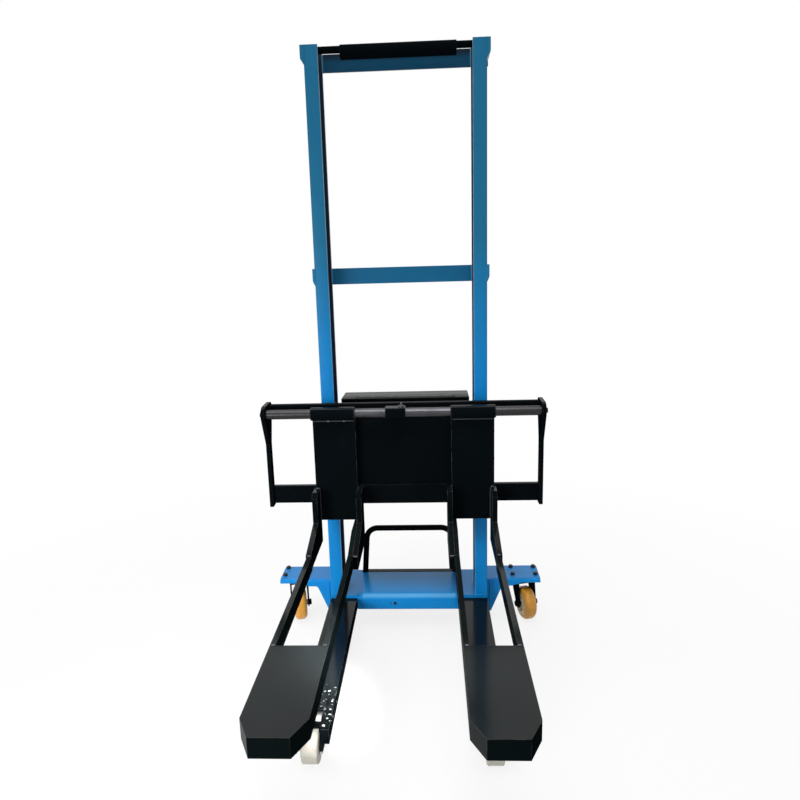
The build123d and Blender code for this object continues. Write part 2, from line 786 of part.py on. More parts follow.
with BuildPart() as shaft_bracket:
    bracket_front = fork_shaft_y - shaft_bracket_height / 2
    bracket_z = (fork_shaft_z - shaft_bracket_height / 2, fork_shaft_z + shaft_bracket_height / 2)
    block(shaft_bracket_x, (bracket_front, plate_front), bracket_z)
    front_edges = shaft_bracket.edges().filter_by(Axis.X).group_by(Axis.Y)[0]
    fillet(front_edges, radius=shaft_bracket_round)
    bar_x(shaft_bracket_x, fork_shaft_y, fork_shaft_z, fork_shaft_diameter, Mode.SUBTRACT)
    step_z = (centre_plate_z[1], bracket_z[1])
    block(shaft_bracket_x, (bottom_bar_front, plate_front), step_z, Mode.SUBTRACT)
save(shaft_bracket, "shaft_bracket")

with BuildPart() as latch_bolt:
    collar_diameter, collar_height = latch_collar
    bar_z(latch_x, fork_shaft_y, (bracket_z[1], bracket_z[1] + collar_height), collar_diameter)
    bar_z(latch_x, fork_shaft_y, (bracket_z[1], bracket_z[1] + latch_height), latch_diameter)
save(latch_bolt, "latch_bolt")

with BuildPart() as guide_pins:
    for sign in sides.values():
        for z in guide_roller_z:
            pin_span = mirrored(sign, side_plate_x - side_plate_thickness, guide_x + guide_roller_width)
            bar_x(pin_span, drive_y, z, guide_pin_diameter)
save(guide_pins, "guide_pins")

for side, sign in sides.items():
    for name, z in zip(("lower", "upper"), guide_roller_z):
        with BuildPart() as guide_roller:
            span = mirrored(sign, guide_x, guide_x + guide_roller_width)
            bar_x(span, drive_y, z, guide_roller_diameter)
            bar_x(span, drive_y, z, guide_pin_diameter + 2 * running, Mode.SUBTRACT)
        save(guide_roller, f"{side}_{name}_guide_roller")

# Forks
for side, sign in sides.items():
    centre = sign * fork_spread / 2
    sleeve_span = (centre - fork_half, centre + fork_half)

    with BuildPart() as fork_bush:
        bush_end = fork_half + side_play + bush_flange
        bar_x((centre - bush_end, centre + bush_end), fork_shaft_y, fork_shaft_z, 2 * bush_radius)
        for x in (centre - bush_end, centre + bush_end - bush_flange):
            bar_x((x, x + bush_flange), fork_shaft_y, fork_shaft_z, bush_flange_diameter)
        bore = fork_shaft_diameter + 2 * running
        bar_x((centre - bush_end, centre + bush_end), fork_shaft_y, fork_shaft_z, bore, Mode.SUBTRACT)
    save(fork_bush, f"{side}_fork_bush")

    with BuildPart() as fork_back:
        bar_x(sleeve_span, fork_shaft_y, fork_shaft_z, fork_sleeve_diameter)
        plate_y = (back_rear - back_plate, back_rear)
        block(sleeve_span, plate_y, (back_bottom, fork_shaft_z))
        arm_profile = [
            (back_rear, side_arm_top),
            (side_arm_front + side_arm, side_arm_top),
            (side_arm_front, side_arm_top - side_arm),
            (side_arm_front, rail_bottom + 2 * rail_size[1]),
            (side_arm_foot, rail_bottom + rail_size[1]),
            (side_arm_foot, rail_bottom),
            (back_rear, rail_bottom),
        ]
        inner_arm = sign * (fork_spread / 2 - fork_half - side_arm / 2)
        outer_arm = sign * (fork_spread / 2 + fork_half + side_arm / 2 - side_arm_overlap)
        for x in (inner_arm, outer_arm):
            with BuildSketch(yz_plane(x - side_arm / 2)):
                with BuildLine():
                    Polyline(*arm_profile, close=True)
                make_face()
            extrude(amount=side_arm)
        bar_x(sleeve_span, fork_shaft_y, fork_shaft_z, 2 * (bush_radius + running), Mode.SUBTRACT)
    save(fork_back, f"{side}_fork_back")

    with BuildPart() as fork_blade:
        rail_width, blade_height = rail_size
        rail_z = (rail_bottom, rail_bottom + blade_height)
        fork_inner = fork_spread / 2 - fork_half
        fork_outer = fork_spread / 2 + fork_half
        block(mirrored(sign, fork_inner, fork_inner + rail_width), (tip_box_rear, rail_rear), rail_z)
        block(mirrored(sign, fork_outer - rail_width, fork_outer), (tip_box_rear, side_arm_foot), rail_z)
        side_cut, front_cut = tip_chamfer
        tip_outline = [
            (centre - fork_half, tip_box_rear),
            (centre - fork_half, fork_tip + front_cut),
            (centre - fork_half + side_cut, fork_tip),
            (centre + fork_half - side_cut, fork_tip),
            (centre + fork_half, fork_tip + front_cut),
            (centre + fork_half, tip_box_rear),
        ]
        with BuildSketch(Plane.XY.offset(rail_bottom)):
            with BuildLine():
                Polyline(*[(x, mast_y + y) for x, y in tip_outline], close=True)
            make_face()
        extrude(amount=blade_height)
        with BuildSketch(Plane.XY.offset(rail_bottom)):
            with BuildLine():
                Polyline(*[(x, mast_y + y) for x, y in tip_outline], close=True)
            make_face()
            offset(amount=-tip_wall, kind=Kind.INTERSECTION, mode=Mode.REPLACE)
        extrude(amount=blade_height - tip_wall, mode=Mode.SUBTRACT)
    save(fork_blade, f"{side}_fork_blade")
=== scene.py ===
# %% [markdown]
# # A pallet stacker, dressed for the camera
# The machine arrives as a packed set of solids in metres: a blue mast on casters, two straddle legs,
# and a black carriage with two forks. Each solid already has its place, so this lesson only adds what
# a solid modeller leaves out: paint, steel and rubber, and the small pieces that make a machine real.

# %% Load the frame
import json
from math import atan2, cos, pi, radians, sin

import bmesh
import bpy
from mathutils import Matrix, Vector


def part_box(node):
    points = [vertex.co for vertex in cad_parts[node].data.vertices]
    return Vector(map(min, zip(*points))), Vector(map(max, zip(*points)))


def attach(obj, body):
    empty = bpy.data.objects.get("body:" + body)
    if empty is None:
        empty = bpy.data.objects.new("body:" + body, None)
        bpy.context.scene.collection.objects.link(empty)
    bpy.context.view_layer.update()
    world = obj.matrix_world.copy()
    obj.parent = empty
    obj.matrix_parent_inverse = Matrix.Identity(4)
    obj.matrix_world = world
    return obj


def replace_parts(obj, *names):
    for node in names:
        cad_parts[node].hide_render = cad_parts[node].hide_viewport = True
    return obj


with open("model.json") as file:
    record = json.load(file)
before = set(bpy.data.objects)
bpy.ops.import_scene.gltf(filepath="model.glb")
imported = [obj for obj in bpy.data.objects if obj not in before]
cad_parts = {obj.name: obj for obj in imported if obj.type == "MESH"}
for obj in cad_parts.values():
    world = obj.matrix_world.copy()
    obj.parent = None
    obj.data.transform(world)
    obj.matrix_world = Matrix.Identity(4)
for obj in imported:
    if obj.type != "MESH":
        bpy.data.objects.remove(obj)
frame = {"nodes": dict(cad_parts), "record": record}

scene = bpy.context.scene
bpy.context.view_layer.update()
slot_of = {row["node"]: row["material_slot"] for row in frame["record"]["subparts"]}

# %% [markdown]
# ## The camera
# The picture was taken by a person standing in front of the forks, a little to the right, looking slightly
# down. A camera could be aimed with a Track To constraint, but three direction vectors, worked out
# from the vanishing points of the mast and the legs, give the exact tilt as well.

# %% Camera
view_right = Vector((0.99872, 0.04287, -0.02677))
view_up = Vector((0.01767, 0.20008, 0.97962))
view_back = Vector((0.04736, -0.97884, 0.19907))
eye = Vector((0.0765, -1.4465, 1.080))
camera = bpy.data.objects.new("camera", bpy.data.cameras.new("camera"))
scene.collection.objects.link(camera)
turn = Matrix((view_right, view_up, view_back)).transposed()
camera.matrix_world = Matrix.Translation(eye) @ turn.to_4x4()
camera.data.sensor_width = 36
camera.data.lens = 29.28
scene.camera = camera
print("camera stands", round(eye.z, 2), "m above the floor")

# %% [markdown]
# ## Building blocks for light and finishes
# The sky and every material are small networks of nodes. They could be drawn by hand in the node editor,
# but with a few helpers they are short to write.


# %% Node helpers
def fill(node, sockets):
    """Link each socket that is given another node's output, and set each that is given a value."""
    for key, value in sockets.items():
        if isinstance(value, bpy.types.NodeSocket):
            node.id_data.links.new(value, node.inputs[key])
        else:
            node.inputs[key].default_value = value


def add(tree, kind, sockets=None, **settings):
    """Add a shader node of some kind, with its settings and filled sockets."""
    made = tree.nodes.new(f"ShaderNode{kind}")
    for key, value in settings.items():
        setattr(made, key, value)
    fill(made, sockets or {})
    return made


def calc(tree, operation, first, second=0):
    """The result of one arithmetic step on two sockets or numbers."""
    return add(tree, "Math", {0: first, 1: second}, operation=operation).outputs[0]


def times(tree, first, second):
    """The product of two sockets or numbers."""
    return calc(tree, "MULTIPLY", first, second)


def spread(tree, value, low, high, to_low=0, to_high=1):
    """Stretch the part of a value between two levels to a new range, and clamp it there."""
    sockets = {"Value": value, "From Min": low, "From Max": high, "To Min": to_low, "To Max": to_high}
    return add(tree, "MapRange", sockets).outputs["Result"]


print("node helpers ready")

# %% [markdown]
# ## Light and background
# The machine stands in even daylight from above. One very wide lamp overhead gives soft shadows, a smaller
# one before the forks lights the fronts, a weak one at the left works like a low window on the base and
# the legs, and a narrow one reaches down between the forks to the left rollers. The sky fills in the
# rest. It is plain white where the camera or a reflection sees it, and dimmer as a lamp, so that
# colours keep their level.


# %% Sky and lamps
def in_view(tree):
    """A mask of what is seen: straight on, in a reflection or through glass."""
    rays = add(tree, "LightPath").outputs
    seen = calc(tree, "MAXIMUM", rays["Is Camera Ray"], rays["Is Glossy Ray"])
    return calc(tree, "MAXIMUM", seen, rays["Is Transmission Ray"])


def lamp(name, place, aim, size, power, cone):
    """A square soft lamp: metres across, watts, and the degrees that its light spreads over."""
    data = bpy.data.lights.new(name, "AREA")
    data.size = size
    data.energy = power
    data.spread = radians(cone)
    made = bpy.data.objects.new(name, data)
    made.location = place
    made.rotation_euler = (Vector(aim) - Vector(place)).to_track_quat("-Z", "Y").to_euler()
    scene.collection.objects.link(made)


white = (1, 1, 1, 1)
sky_as_lamp, sky_seen = 0.30, 1.0
scene.view_settings.view_transform = "Standard"
scene.world = bpy.data.worlds.new("studio")
scene.world.use_nodes = True
sky = scene.world.node_tree
strength = spread(sky, in_view(sky), 0, 1, sky_as_lamp, sky_seen)
fill(sky.nodes["Background"], {"Color": white, "Strength": strength})
lamp("overhead", (-0.7, -0.1, 5.0), aim=(0, 0.2, 0), size=3.6, power=142, cone=180)
lamp("front", (0.2, -1.45, 3.3), aim=(-0.1, -0.05, 0.1), size=0.8, power=9, cone=110)
lamp("window", (-1.5, -1.9, 0.7), aim=(-0.15, 0.40, 0.10), size=1.2, power=7, cone=60)
lamp("between", (0.47, -2.06, 2.265), aim=(-0.19, -0.05, 0.065), size=0.12, power=0.65, cone=4.5)

# %% [markdown]
# ## Shared effects
# Sprayed paint is never one flat colour. It clouds a little over a panel, has a fine pebbled skin, gathers
# dust on what faces up, loses its gloss on corners and picks up small chips. Each effect is one node
# group, so that the blue and the black paint share it with different amounts.


# %% Clouding, pebble and dust
def effect(name, inputs, outputs):
    """An empty node group with named number inputs, and outputs of the kinds given."""
    group = bpy.data.node_groups.new(name, "ShaderNodeTree")
    for socket, default in inputs.items():
        made = group.interface.new_socket(socket, in_out="INPUT", socket_type="NodeSocketFloat")
        made.default_value = default
    for socket, kind in outputs.items():
        group.interface.new_socket(socket, in_out="OUTPUT", socket_type=f"NodeSocket{kind}")
    return group, group.nodes.new("NodeGroupInput").outputs, group.nodes.new("NodeGroupOutput")


def use(tree, group, **values):
    """Place a shared effect in a node tree with its own values."""
    return add(tree, "Group", values, node_tree=group).outputs


def coords(tree, kind="Object"):
    """The place on an object, or with the kind Normal the way that its surface faces."""
    return add(tree, "TexCoord").outputs[kind]


def axes(tree, kind="Object"):
    """The sockets X, Y and Z of such coordinates."""
    return add(tree, "SeparateXYZ", {0: coords(tree, kind)}).outputs


def noise(tree, scale, detail, spot=None):
    """A soft random pattern over the object, or over other coordinates."""
    spot = coords(tree) if spot is None else spot
    return add(tree, "TexNoise", {"Vector": spot, "Scale": scale, "Detail": detail}).outputs


clouding, given, out = effect("Clouding", {"Scale": 5, "Depth": 0.1}, {"Value": "Float"})
darker = calc(clouding, "SUBTRACT", 1, given["Depth"])
lighter = calc(clouding, "ADD", 1, given["Depth"])
cloud = noise(clouding, given["Scale"], 4)["Fac"]
fill(out, {"Value": spread(clouding, cloud, 0.3, 0.7, darker, lighter)})

pebble, given, out = effect("Pebble", {"Scale": 300}, {"Height": "Float"})
fill(out, {"Height": noise(pebble, given["Scale"], 1.5)["Fac"]})

upward, given, out = effect("Facing up", {"Amount": 1}, {"Mask": "Float"})
level = spread(upward, axes(upward, "Normal")["Z"], 0.74, 0.98)
fill(out, {"Mask": times(upward, level, given["Amount"])})

dust, given, out = effect("Settled dust", {"Amount": 0.3, "Scale": 14}, {"Mask": "Float"})
level = use(dust, upward, Amount=given["Amount"])["Mask"]
patches = spread(dust, noise(dust, given["Scale"], 6)["Fac"], 0.25, 0.75, 0.5, 1)
fill(out, {"Mask": times(dust, level, patches)})
print("clouding, pebble, facing and dust groups made")

# %% [markdown]
# Corners wear first, and the same pale corners also stand as painted highlights where rounded edges catch the
# light. A Bevel node gives the normal of a rounded corner, and where it differs from the flat one there is a
# corner. Chips are a few cells of a Voronoi pattern, and scuffs are a noise drawn out in one direction.

# %% Worn and highlighted edges, chips and scuffs
edges, given, out = effect("Worn edges", {"Radius": 0.002, "Amount": 0.5, "Grain": 40},
                           {"Mask": "Float", "Normal": "Vector"})
rounded = add(edges, "Bevel", {"Radius": given["Radius"]}, samples=4).outputs["Normal"]
flat = add(edges, "NewGeometry").outputs["Normal"]
same = add(edges, "VectorMath", {0: rounded, 1: flat}, operation="DOT_PRODUCT").outputs["Value"]
broken = spread(edges, noise(edges, given["Grain"], 5)["Fac"], 0.34, 0.58)
worn_and_lit_mask = times(edges, spread(edges, same, 0.97, 0.8), broken)
fill(out, {"Mask": times(edges, worn_and_lit_mask, given["Amount"]), "Normal": rounded})

chips, given, out = effect("Chips", {"Scale": 60, "Share": 0.1}, {"Mask": "Float"})
shake = (0.006, 0.006, 0.006)
ragged = noise(chips, 220, 2)["Color"]
moved = add(chips, "VectorMath", {0: ragged, 1: shake}, operation="MULTIPLY").outputs[0]
shaken = add(chips, "VectorMath", {0: coords(chips), 1: moved}, operation="ADD").outputs[0]
cell = add(chips, "TexVoronoi", {"Vector": shaken, "Scale": given["Scale"]}).outputs
pick = add(chips, "SeparateColor", {0: cell["Color"]}).outputs
chosen = calc(chips, "LESS_THAN", pick[0], given["Share"])
inside = calc(chips, "LESS_THAN", cell["Distance"], spread(chips, pick[1], 0, 1, 0.06, 0.3))
fill(out, {"Mask": times(chips, chosen, inside)})

scuffs, given, out = effect("Scuffs", {"Scale": 9, "Amount": 0.3}, {"Mask": "Float"})
drawn_out = {"Vector": coords(scuffs), "Rotation": (0.1, 0.25, 0.15), "Scale": (14, 1, 14)}
drawn = add(scuffs, "Mapping", drawn_out).outputs[0]
streak = spread(scuffs, noise(scuffs, given["Scale"], 3, drawn)["Fac"], 0.6, 0.72)
zone = spread(scuffs, noise(scuffs, 6, 2)["Fac"], 0.45, 0.65)
fill(out, {"Mask": times(scuffs, times(scuffs, streak, zone), given["Amount"])})
print("edge, chip and scuff groups made")

# %% [markdown]
# ## Paint
# The frame is sprayed sky blue, and the carriage, forks, legs, hoop and box are black. Both are one coat of
# enamel on steel. A base colour, a roughness and a bump come from the shared effects, and primer grey shows
# where a corner has rubbed through; on the black fork paints these pale corners are strong, as painted
# highlights along the edges. What faces up is seen at a low angle and mirrors the bright background, which a
# clear coat over the paint shows best. Colours are written as a paint chart gives them, from 0 to 255, and
# turned into the linear values that the renderer works with.


# %% Paint recipe
def linear(colour):
    """A display colour of 0 to 255 as the linear colour of a shader socket."""
    parts = [value / 255 for value in colour]
    return [p / 12.92 if p <= 0.04045 else ((p + 0.055) / 1.055) ** 2.4 for p in parts] + [1]


def paler(colour, step):
    """A display colour made lighter by a step, as a linear colour."""
    return linear([min(255, step + part) for part in colour])


def shader(name):
    """A new material, its node tree and its principled shader."""
    made = bpy.data.materials.new(name)
    made.use_nodes = True
    return made, made.node_tree, made.node_tree.nodes["Principled BSDF"]


def blend(tree, mask, under, over, mode="MIX"):
    """One colour over another where a mask is white."""
    sockets = {0: mask, 6: under, 7: over}
    return add(tree, "Mix", sockets, data_type="RGBA", blend_type=mode).outputs[2]


def shade(tree, colour, value):
    """A colour made darker or lighter by a number that changes over the surface."""
    grey = add(tree, "CombineColor", {0: value, 1: value, 2: value}).outputs[0]
    return blend(tree, 1.0, colour, grey, "MULTIPLY")


def bump(tree, height, strength, distance, normal):
    """A bump from a height, on top of an earlier normal."""
    sockets = {"Height": height, "Strength": strength, "Distance": distance, "Normal": normal}
    return add(tree, "Bump", sockets).outputs["Normal"]


def paint(name, colour, primer_and_glint, edge_wear_and_glint, gloss=0.42, specular=0.0, coat=0.5, cloud=0.12, dusty=0.01,
          chipped=0.0, scuffed=0.05):
    """Sprayed enamel with clouds, dust, rubbed corners that double as painted edge highlights, chips, scuffs,
    a coat and a pebbled skin.
    """
    made, tree, surface = shader(name)
    tone = shade(tree, linear(colour), use(tree, clouding, Scale=6, Depth=cloud)["Value"])
    tone = blend(tree, use(tree, scuffs, Scale=7, Amount=scuffed)["Mask"], tone, paler(colour, 40))
    powder = use(tree, dust, Amount=dusty, Scale=11)["Mask"]
    tone = blend(tree, powder, tone, linear((150, 152, 150)))
    corner = use(tree, edges, Radius=0.0018, Amount=edge_wear_and_glint, Grain=45)
    tone = blend(tree, corner["Mask"], tone, linear(primer_and_glint))
    tone = blend(tree, use(tree, chips, Scale=70, Share=chipped)["Mask"], tone, linear(primer_and_glint))
    rough = times(tree, use(tree, clouding, Scale=22, Depth=0.15)["Value"], gloss)
    fill(surface, {
        "Base Color": tone,
        "Roughness": calc(tree, "ADD", rough, times(tree, powder, 0.4)),
        "Normal": bump(tree, use(tree, pebble, Scale=420)["Height"], 0.12, 0.0006, corner["Normal"]),
        "Specular IOR Level": specular,
        "Coat Weight": use(tree, upward, Amount=coat)["Mask"],
        "Coat Roughness": 0.12,
    })
    return made


print("paint recipe ready")

# %% [markdown]
# Each paint has a colour, a primer and what differs from common black. On the fork paints the rubbed corners
# are strong and pale, as painted highlights along the edges. The forks also gleam on chamfers that are turned
# to the window at the left, so the coat is raised where the surface faces that way.

# %% Paints
finishes = {}
mast_blue = dict(colour=(8, 127, 198), primer_and_glint=(160, 176, 186), edge_wear_and_glint=0.45, gloss=0.36, specular=0.12,
                 coat=0.3, cloud=0.05, dusty=0.015, chipped=0.004)
handled = dict(cloud=0.10, dusty=0.02, scuffed=0.08)
finishes["blue_paint"] = paint("sky_blue_enamel", **mast_blue)
finishes["black_paint"] = paint("black_enamel", (8, 12, 15), (74, 76, 76), edge_wear_and_glint=0.5, coat=0.4)
# Painted highlights: the fork paints get strong, pale rubbed corners, so that their edges look lit
finishes["charcoal_paint"] = paint("black_fork_enamel", (11, 18, 19), (96, 98, 96), edge_wear_and_glint=0.8, **handled)
fork_paint = paint("fork_back_enamel", (8, 13, 16), (112, 116, 117), edge_wear_and_glint=1.0, **handled)
# Painted highlight: the fork's painted beads are a lighter grey than the fork, as if their tops caught the
# light
weld_highlight_paint = paint("weld_highlight_enamel", (54, 58, 60), (150, 152, 150), edge_wear_and_glint=0.6, specular=0.10, coat=0.2,
                   dusty=0.02, chipped=0.10)
for material in (finishes["charcoal_paint"], fork_paint):
    tree = material.node_tree
    surface = tree.nodes["Principled BSDF"]
    facing = axes(tree, "Normal")["X"]
    to_left = spread(tree, facing, -0.3, -0.7, 0, 0.3)
    on_chamfer = spread(tree, facing, -0.98, -0.85, 0.3, 1)
    coat = surface.inputs["Coat Weight"].links[0].from_socket
    fill(surface, {"Coat Weight": calc(tree, "MAXIMUM", coat, times(tree, to_left, on_chamfer))})
print("paints:", ", ".join(finishes))

# %% [markdown]
# The blue is painted duller and greyer up the mast, as painted shade, and the inside of each column is
# painted dark, for its shade and for the grease where rollers and chain run. The lips of the columns get a
# painted highlight, the crossbars between them painted shade, and the top one a deeper painted shadow
# under the rod. All are masks made from the place on the mast, blended over the enamel that is there already.


# %% Painted shade and highlights on the blue
def over(material, mask, colour):
    """Blend one more colour over a material's own, where a mask is white."""
    surface = material.node_tree.nodes["Principled BSDF"]
    own = surface.inputs["Base Color"].links[0].from_socket
    fill(surface, {"Base Color": blend(material.node_tree, mask, own, linear(colour))})


column_low, column_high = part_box("right_column")
front, rear = column_low.y, column_high.y
web, flange = 0.005, 0.006
# Colours of painted light: a duller blue for the painted shade up the mast, grease and shade inside the
# channels, a painted highlight on the lips, painted shade on the crossbars and a painted shadow under the rod
upper_shade_blue, upper_shade_from, upper_shade_to = (28, 107, 145), 0.75, 1.15
grease_and_shade, lip_highlight, crossbar_shade, rod_shadow = (12, 20, 32), (170, 184, 196), (10, 54, 80), (3, 12, 24)
track_paint = paint("track_blue_enamel", **mast_blue)
bar_paint = paint("bar_blue_enamel", **mast_blue)
# Painted shade: the blue turns towards a duller, greyer blue higher up the mast
for material in (finishes["blue_paint"], track_paint, bar_paint):
    tree = material.node_tree
    over(material, spread(tree, axes(tree)["Z"], upper_shade_from, upper_shade_to), upper_shade_blue)

tree = track_paint.node_tree
place = axes(tree)
from_middle = calc(tree, "ABSOLUTE", place["X"])
within = calc(tree, "COMPARE", place["Y"], (front + rear) / 2)
fill(within.node, {2: (rear - front) / 2 - flange + 0.0005})
inside = times(tree, within, calc(tree, "LESS_THAN", from_middle, column_high.x - web + 0.0003))
# Painted shade with grease: the inside of each channel is painted almost black
over(track_paint, times(tree, inside, 0.92), grease_and_shade)
# Painted highlight: a pale line along the lip of each channel
lip = calc(tree, "LESS_THAN", from_middle, column_low.x + 0.0008)
over(track_paint, times(tree, lip, 0.6), lip_highlight)

tree = bar_paint.node_tree
place = axes(tree)
between = calc(tree, "LESS_THAN", calc(tree, "ABSOLUTE", place["X"]), column_low.x)
# Painted shade: the crossbars between the columns darken higher up
over(bar_paint, times(tree, between, spread(tree, place["Z"], 1.1, 1.5, 0.4, 0.8)), crossbar_shade)
crossbar_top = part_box("top_crossbar")[1].z
under_rod = spread(tree, place["Z"], crossbar_top - 0.024, crossbar_top - 0.008, 0, 0.85)
over(bar_paint, times(tree, between, under_rod), rod_shadow)
# The height where the painted shade up the mast begins
print("weathered from z =", upper_shade_from, "m up, front face at y =", round(front, 4))

# %% [markdown]
# The level top of the sheet over the base is painted brighter in front, as a painted reflection, and duller
# towards the rear, as painted shade, and its fold gets a pale painted highlight. The direction that the
# surface faces picks out the level top and the fold.

# %% Base cover paint
cover_paint = paint("cover_blue_enamel", **mast_blue)
tree = cover_paint.node_tree
level = use(tree, upward)["Mask"]
depth = axes(tree)["Y"]
rise = axes(tree, "Normal")["Z"]
# Painted reflection in front, painted shade towards the rear and a painted highlight along the fold
front_reflection = times(tree, level, spread(tree, depth, front + 0.10, front, 0, 0.8))
rear_shade = times(tree, level, spread(tree, depth, front + 0.04, front + 0.14, 0, 0.6))
fold_highlight = times(tree, spread(tree, rise, 0.25, 0.65, 0, 0.55), spread(tree, rise, 0.99, 0.85))
for mask, colour in ((front_reflection, (12, 146, 226)), (rear_shade, (40, 100, 136)), (fold_highlight, (110, 186, 232))):
    over(cover_paint, mask, colour)
# The y where the painted reflection on the cover is brightest
print("cover paint is cleanest at y =", round(front, 3))

# %% [markdown]
# The legs drag over thresholds and pallets, so their paint is chipped round the rollers and whole near the
# mast. A mask that rises along the leg gives the chips their share, on top of the same enamel.

# %% Leg paint
leg_paint = paint("black_leg_enamel", (8, 13, 16), (96, 98, 96), edge_wear_and_glint=0.6, gloss=0.48, chipped=0.02)
tree = leg_paint.node_tree
leg_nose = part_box("left_leg")[0].y
whole_at, scraped_at = leg_nose + 0.18, leg_nose + 0.07
scraped = spread(tree, axes(tree)["Y"], whole_at, scraped_at)
scraped = times(tree, scraped, spread(tree, use(tree, upward)["Mask"], 0, 1, 0.12, 1))
for fine in (75, 110):
    over(leg_paint, use(tree, chips, Scale=fine, Share=scraped)["Mask"], (168, 170, 160))
print("leg paint is scraped from y =", round(whole_at, 3))

# %% [markdown]
# ## Metals
# Turned shafts are bare steel with faint rings from the lathe, bolts are blackened, and the chains are
# dark and oily. A metal takes its colour from its reflections, so the roughness carries the detail. The
# shafts get a steel of their own, duller towards their ends.


# %% Metals
def metal(name, colour, gloss, stain, fine, metallic=1.0):
    """Steel with turning marks, stains and bright worn corners."""
    made, tree, surface = shader(name)
    corner = use(tree, edges, Radius=0.001, Amount=0.5, Grain=90)
    tone = shade(tree, linear(colour), use(tree, clouding, Scale=30, Depth=stain)["Value"])
    tone = blend(tree, corner["Mask"], tone, paler(colour, 60))
    drawn = add(tree, "Mapping", {"Vector": coords(tree), "Scale": (1, 0.05, 0.05)}).outputs[0]
    rings = noise(tree, fine, 2, drawn)["Fac"]
    fill(surface, {
        "Base Color": tone,
        "Roughness": spread(tree, rings, 0.2, 0.8, gloss * 0.75, gloss * 1.3),
        "Normal": bump(tree, rings, 0.1, 0.0004, corner["Normal"]),
        "Metallic": metallic,
    })
    return made


lathed = dict(colour=(74, 74, 78), gloss=0.30, stain=0.14, fine=900)
finishes["bright_steel"] = metal("turned_steel", **lathed)
shaft_steel = metal("steel_darker_at_ends", **lathed)
tree = shaft_steel.node_tree
from_middle = calc(tree, "ABSOLUTE", axes(tree)["X"])
# The shafts are darker towards their ends
over(shaft_steel, spread(tree, from_middle, 0.20, 0.26, 0, 0.9), (52, 51, 52))
finishes["black_steel"] = metal("blackened_steel", (36, 37, 39), 0.42, stain=0.25, fine=500, metallic=0.7)
finishes["chain_steel"] = metal("oily_chain_steel", (92, 88, 82), 0.34, stain=0.30, fine=300)
finishes["key_metal"] = metal("plated_key", (190, 190, 188), 0.24, stain=0.06, fine=900)
print(len(finishes), "finishes so far")

# %% [markdown]
# ## Moulded and cast pieces
# The caster tyres are amber polyurethane, the hubs and leg rollers are cast nylon, and the case and
# buttons are moulded. They share one recipe: a faint mottle, a fine grain, grime in specks and as a film,
# and a light sheen.


# %% Moulded finishes
def moulded(name, colour, gloss, mottle, dirt, grain, grimy=(120, 112, 98), specular=0.4):
    """A moulded plastic or rubber with mottled colour, grime and a fine grain."""
    made, tree, surface = shader(name)
    tone = shade(tree, linear(colour), use(tree, clouding, Scale=35, Depth=mottle)["Value"])
    tone = blend(tree, use(tree, chips, Scale=130, Share=dirt)["Mask"], tone, linear(grimy))
    film = spread(tree, use(tree, clouding, Scale=55, Depth=0.9)["Value"], 1.1, 1.9)
    tone = blend(tree, times(tree, film, dirt * 4), tone, linear(grimy))
    corner = use(tree, edges, Radius=0.0012, Amount=0, Grain=50)["Normal"]
    fill(surface, {
        "Base Color": tone,
        "Roughness": times(tree, use(tree, clouding, Scale=60, Depth=0.2)["Value"], gloss),
        "Normal": bump(tree, use(tree, pebble, Scale=grain)["Height"], 0.15, 0.0004, corner),
        "Specular IOR Level": specular,
    })
    return made


# Slot, name, colour, gloss, mottle, dirt and grain, then the grime's colour and the specular level
for slot, *row in (
    ("gold_tyre", "amber_polyurethane", (204, 144, 54), 0.30, 0.07, 0.03, 500, (90, 72, 44)),
    ("cream_hub", "cream_nylon", (238, 222, 186), 0.48, 0.06, 0.03, 600),
    ("nylon", "white_nylon", (172, 170, 159), 0.46, 0.05, 0.04, 700),
    ("motor_grey", "cast_grey", (92, 96, 98), 0.5, 0.1, 0.05, 350),
    ("black_nylon", "black_nylon", (18, 18, 19), 0.55, 0.08, 0.02, 600, (52, 52, 50), 0.2),
    ("battery_case", "black_plastic", (22, 23, 25), 0.5, 0.12, 0.03, 400, (60, 60, 58), 0.25),
    ("panel_grey", "panel_grey", (62, 64, 67), 0.46, 0.06, 0.02, 450, (90, 90, 88), 0.3),
    ("green_button", "green_cap", (34, 138, 62), 0.3, 0.03, 0.01, 700),
    ("white_button", "white_cap", (222, 222, 216), 0.3, 0.03, 0.01, 700),
    ("red_button", "red_cap", (196, 26, 24), 0.3, 0.03, 0.01, 700),
):
    finishes[slot] = moulded(*row)
print(len(finishes), "finishes in all")

# %% [markdown]
# Every solid names a slot and gets its finish. A few kinds of solid have a finish of their own, which the
# last word of their name picks out.

# %% Finishes on the solids
special = {"leg": leg_paint, "yoke": finishes["black_paint"], "back": fork_paint, "shaft": shaft_steel,
           "crossbar": bar_paint}
for node, obj in frame["nodes"].items():
    obj.data.materials.clear()
    obj.data.materials.append(special.get(node.split("_")[-1], finishes[slot_of[node]]))
print("finishes put on", len(frame["nodes"]), "solids")

# %% [markdown]
# ## Building blocks for pieces
# Most small parts of a machine are turned on a lathe, cut from plate or rolled to one section. So one helper
# spins a profile round an axis, one makes a plate with softened edges, and one pushes an outline along a
# line. The last makes the finished bmesh an object that rides on a body.


# %% Piece helpers
turns = {
    "x": Matrix.Rotation(radians(90), 4, "Y"), "-x": Matrix.Rotation(radians(-90), 4, "Y"),
    "y": Matrix.Rotation(radians(-90), 4, "X"), "-y": Matrix.Rotation(radians(90), 4, "X"),
    "z": Matrix(), "-z": Matrix.Rotation(radians(180), 4, "X"),
}
mm = 0.001


def outward(bm):
    """Make all faces of a bmesh look outwards."""
    bmesh.ops.recalc_face_normals(bm, faces=bm.faces)


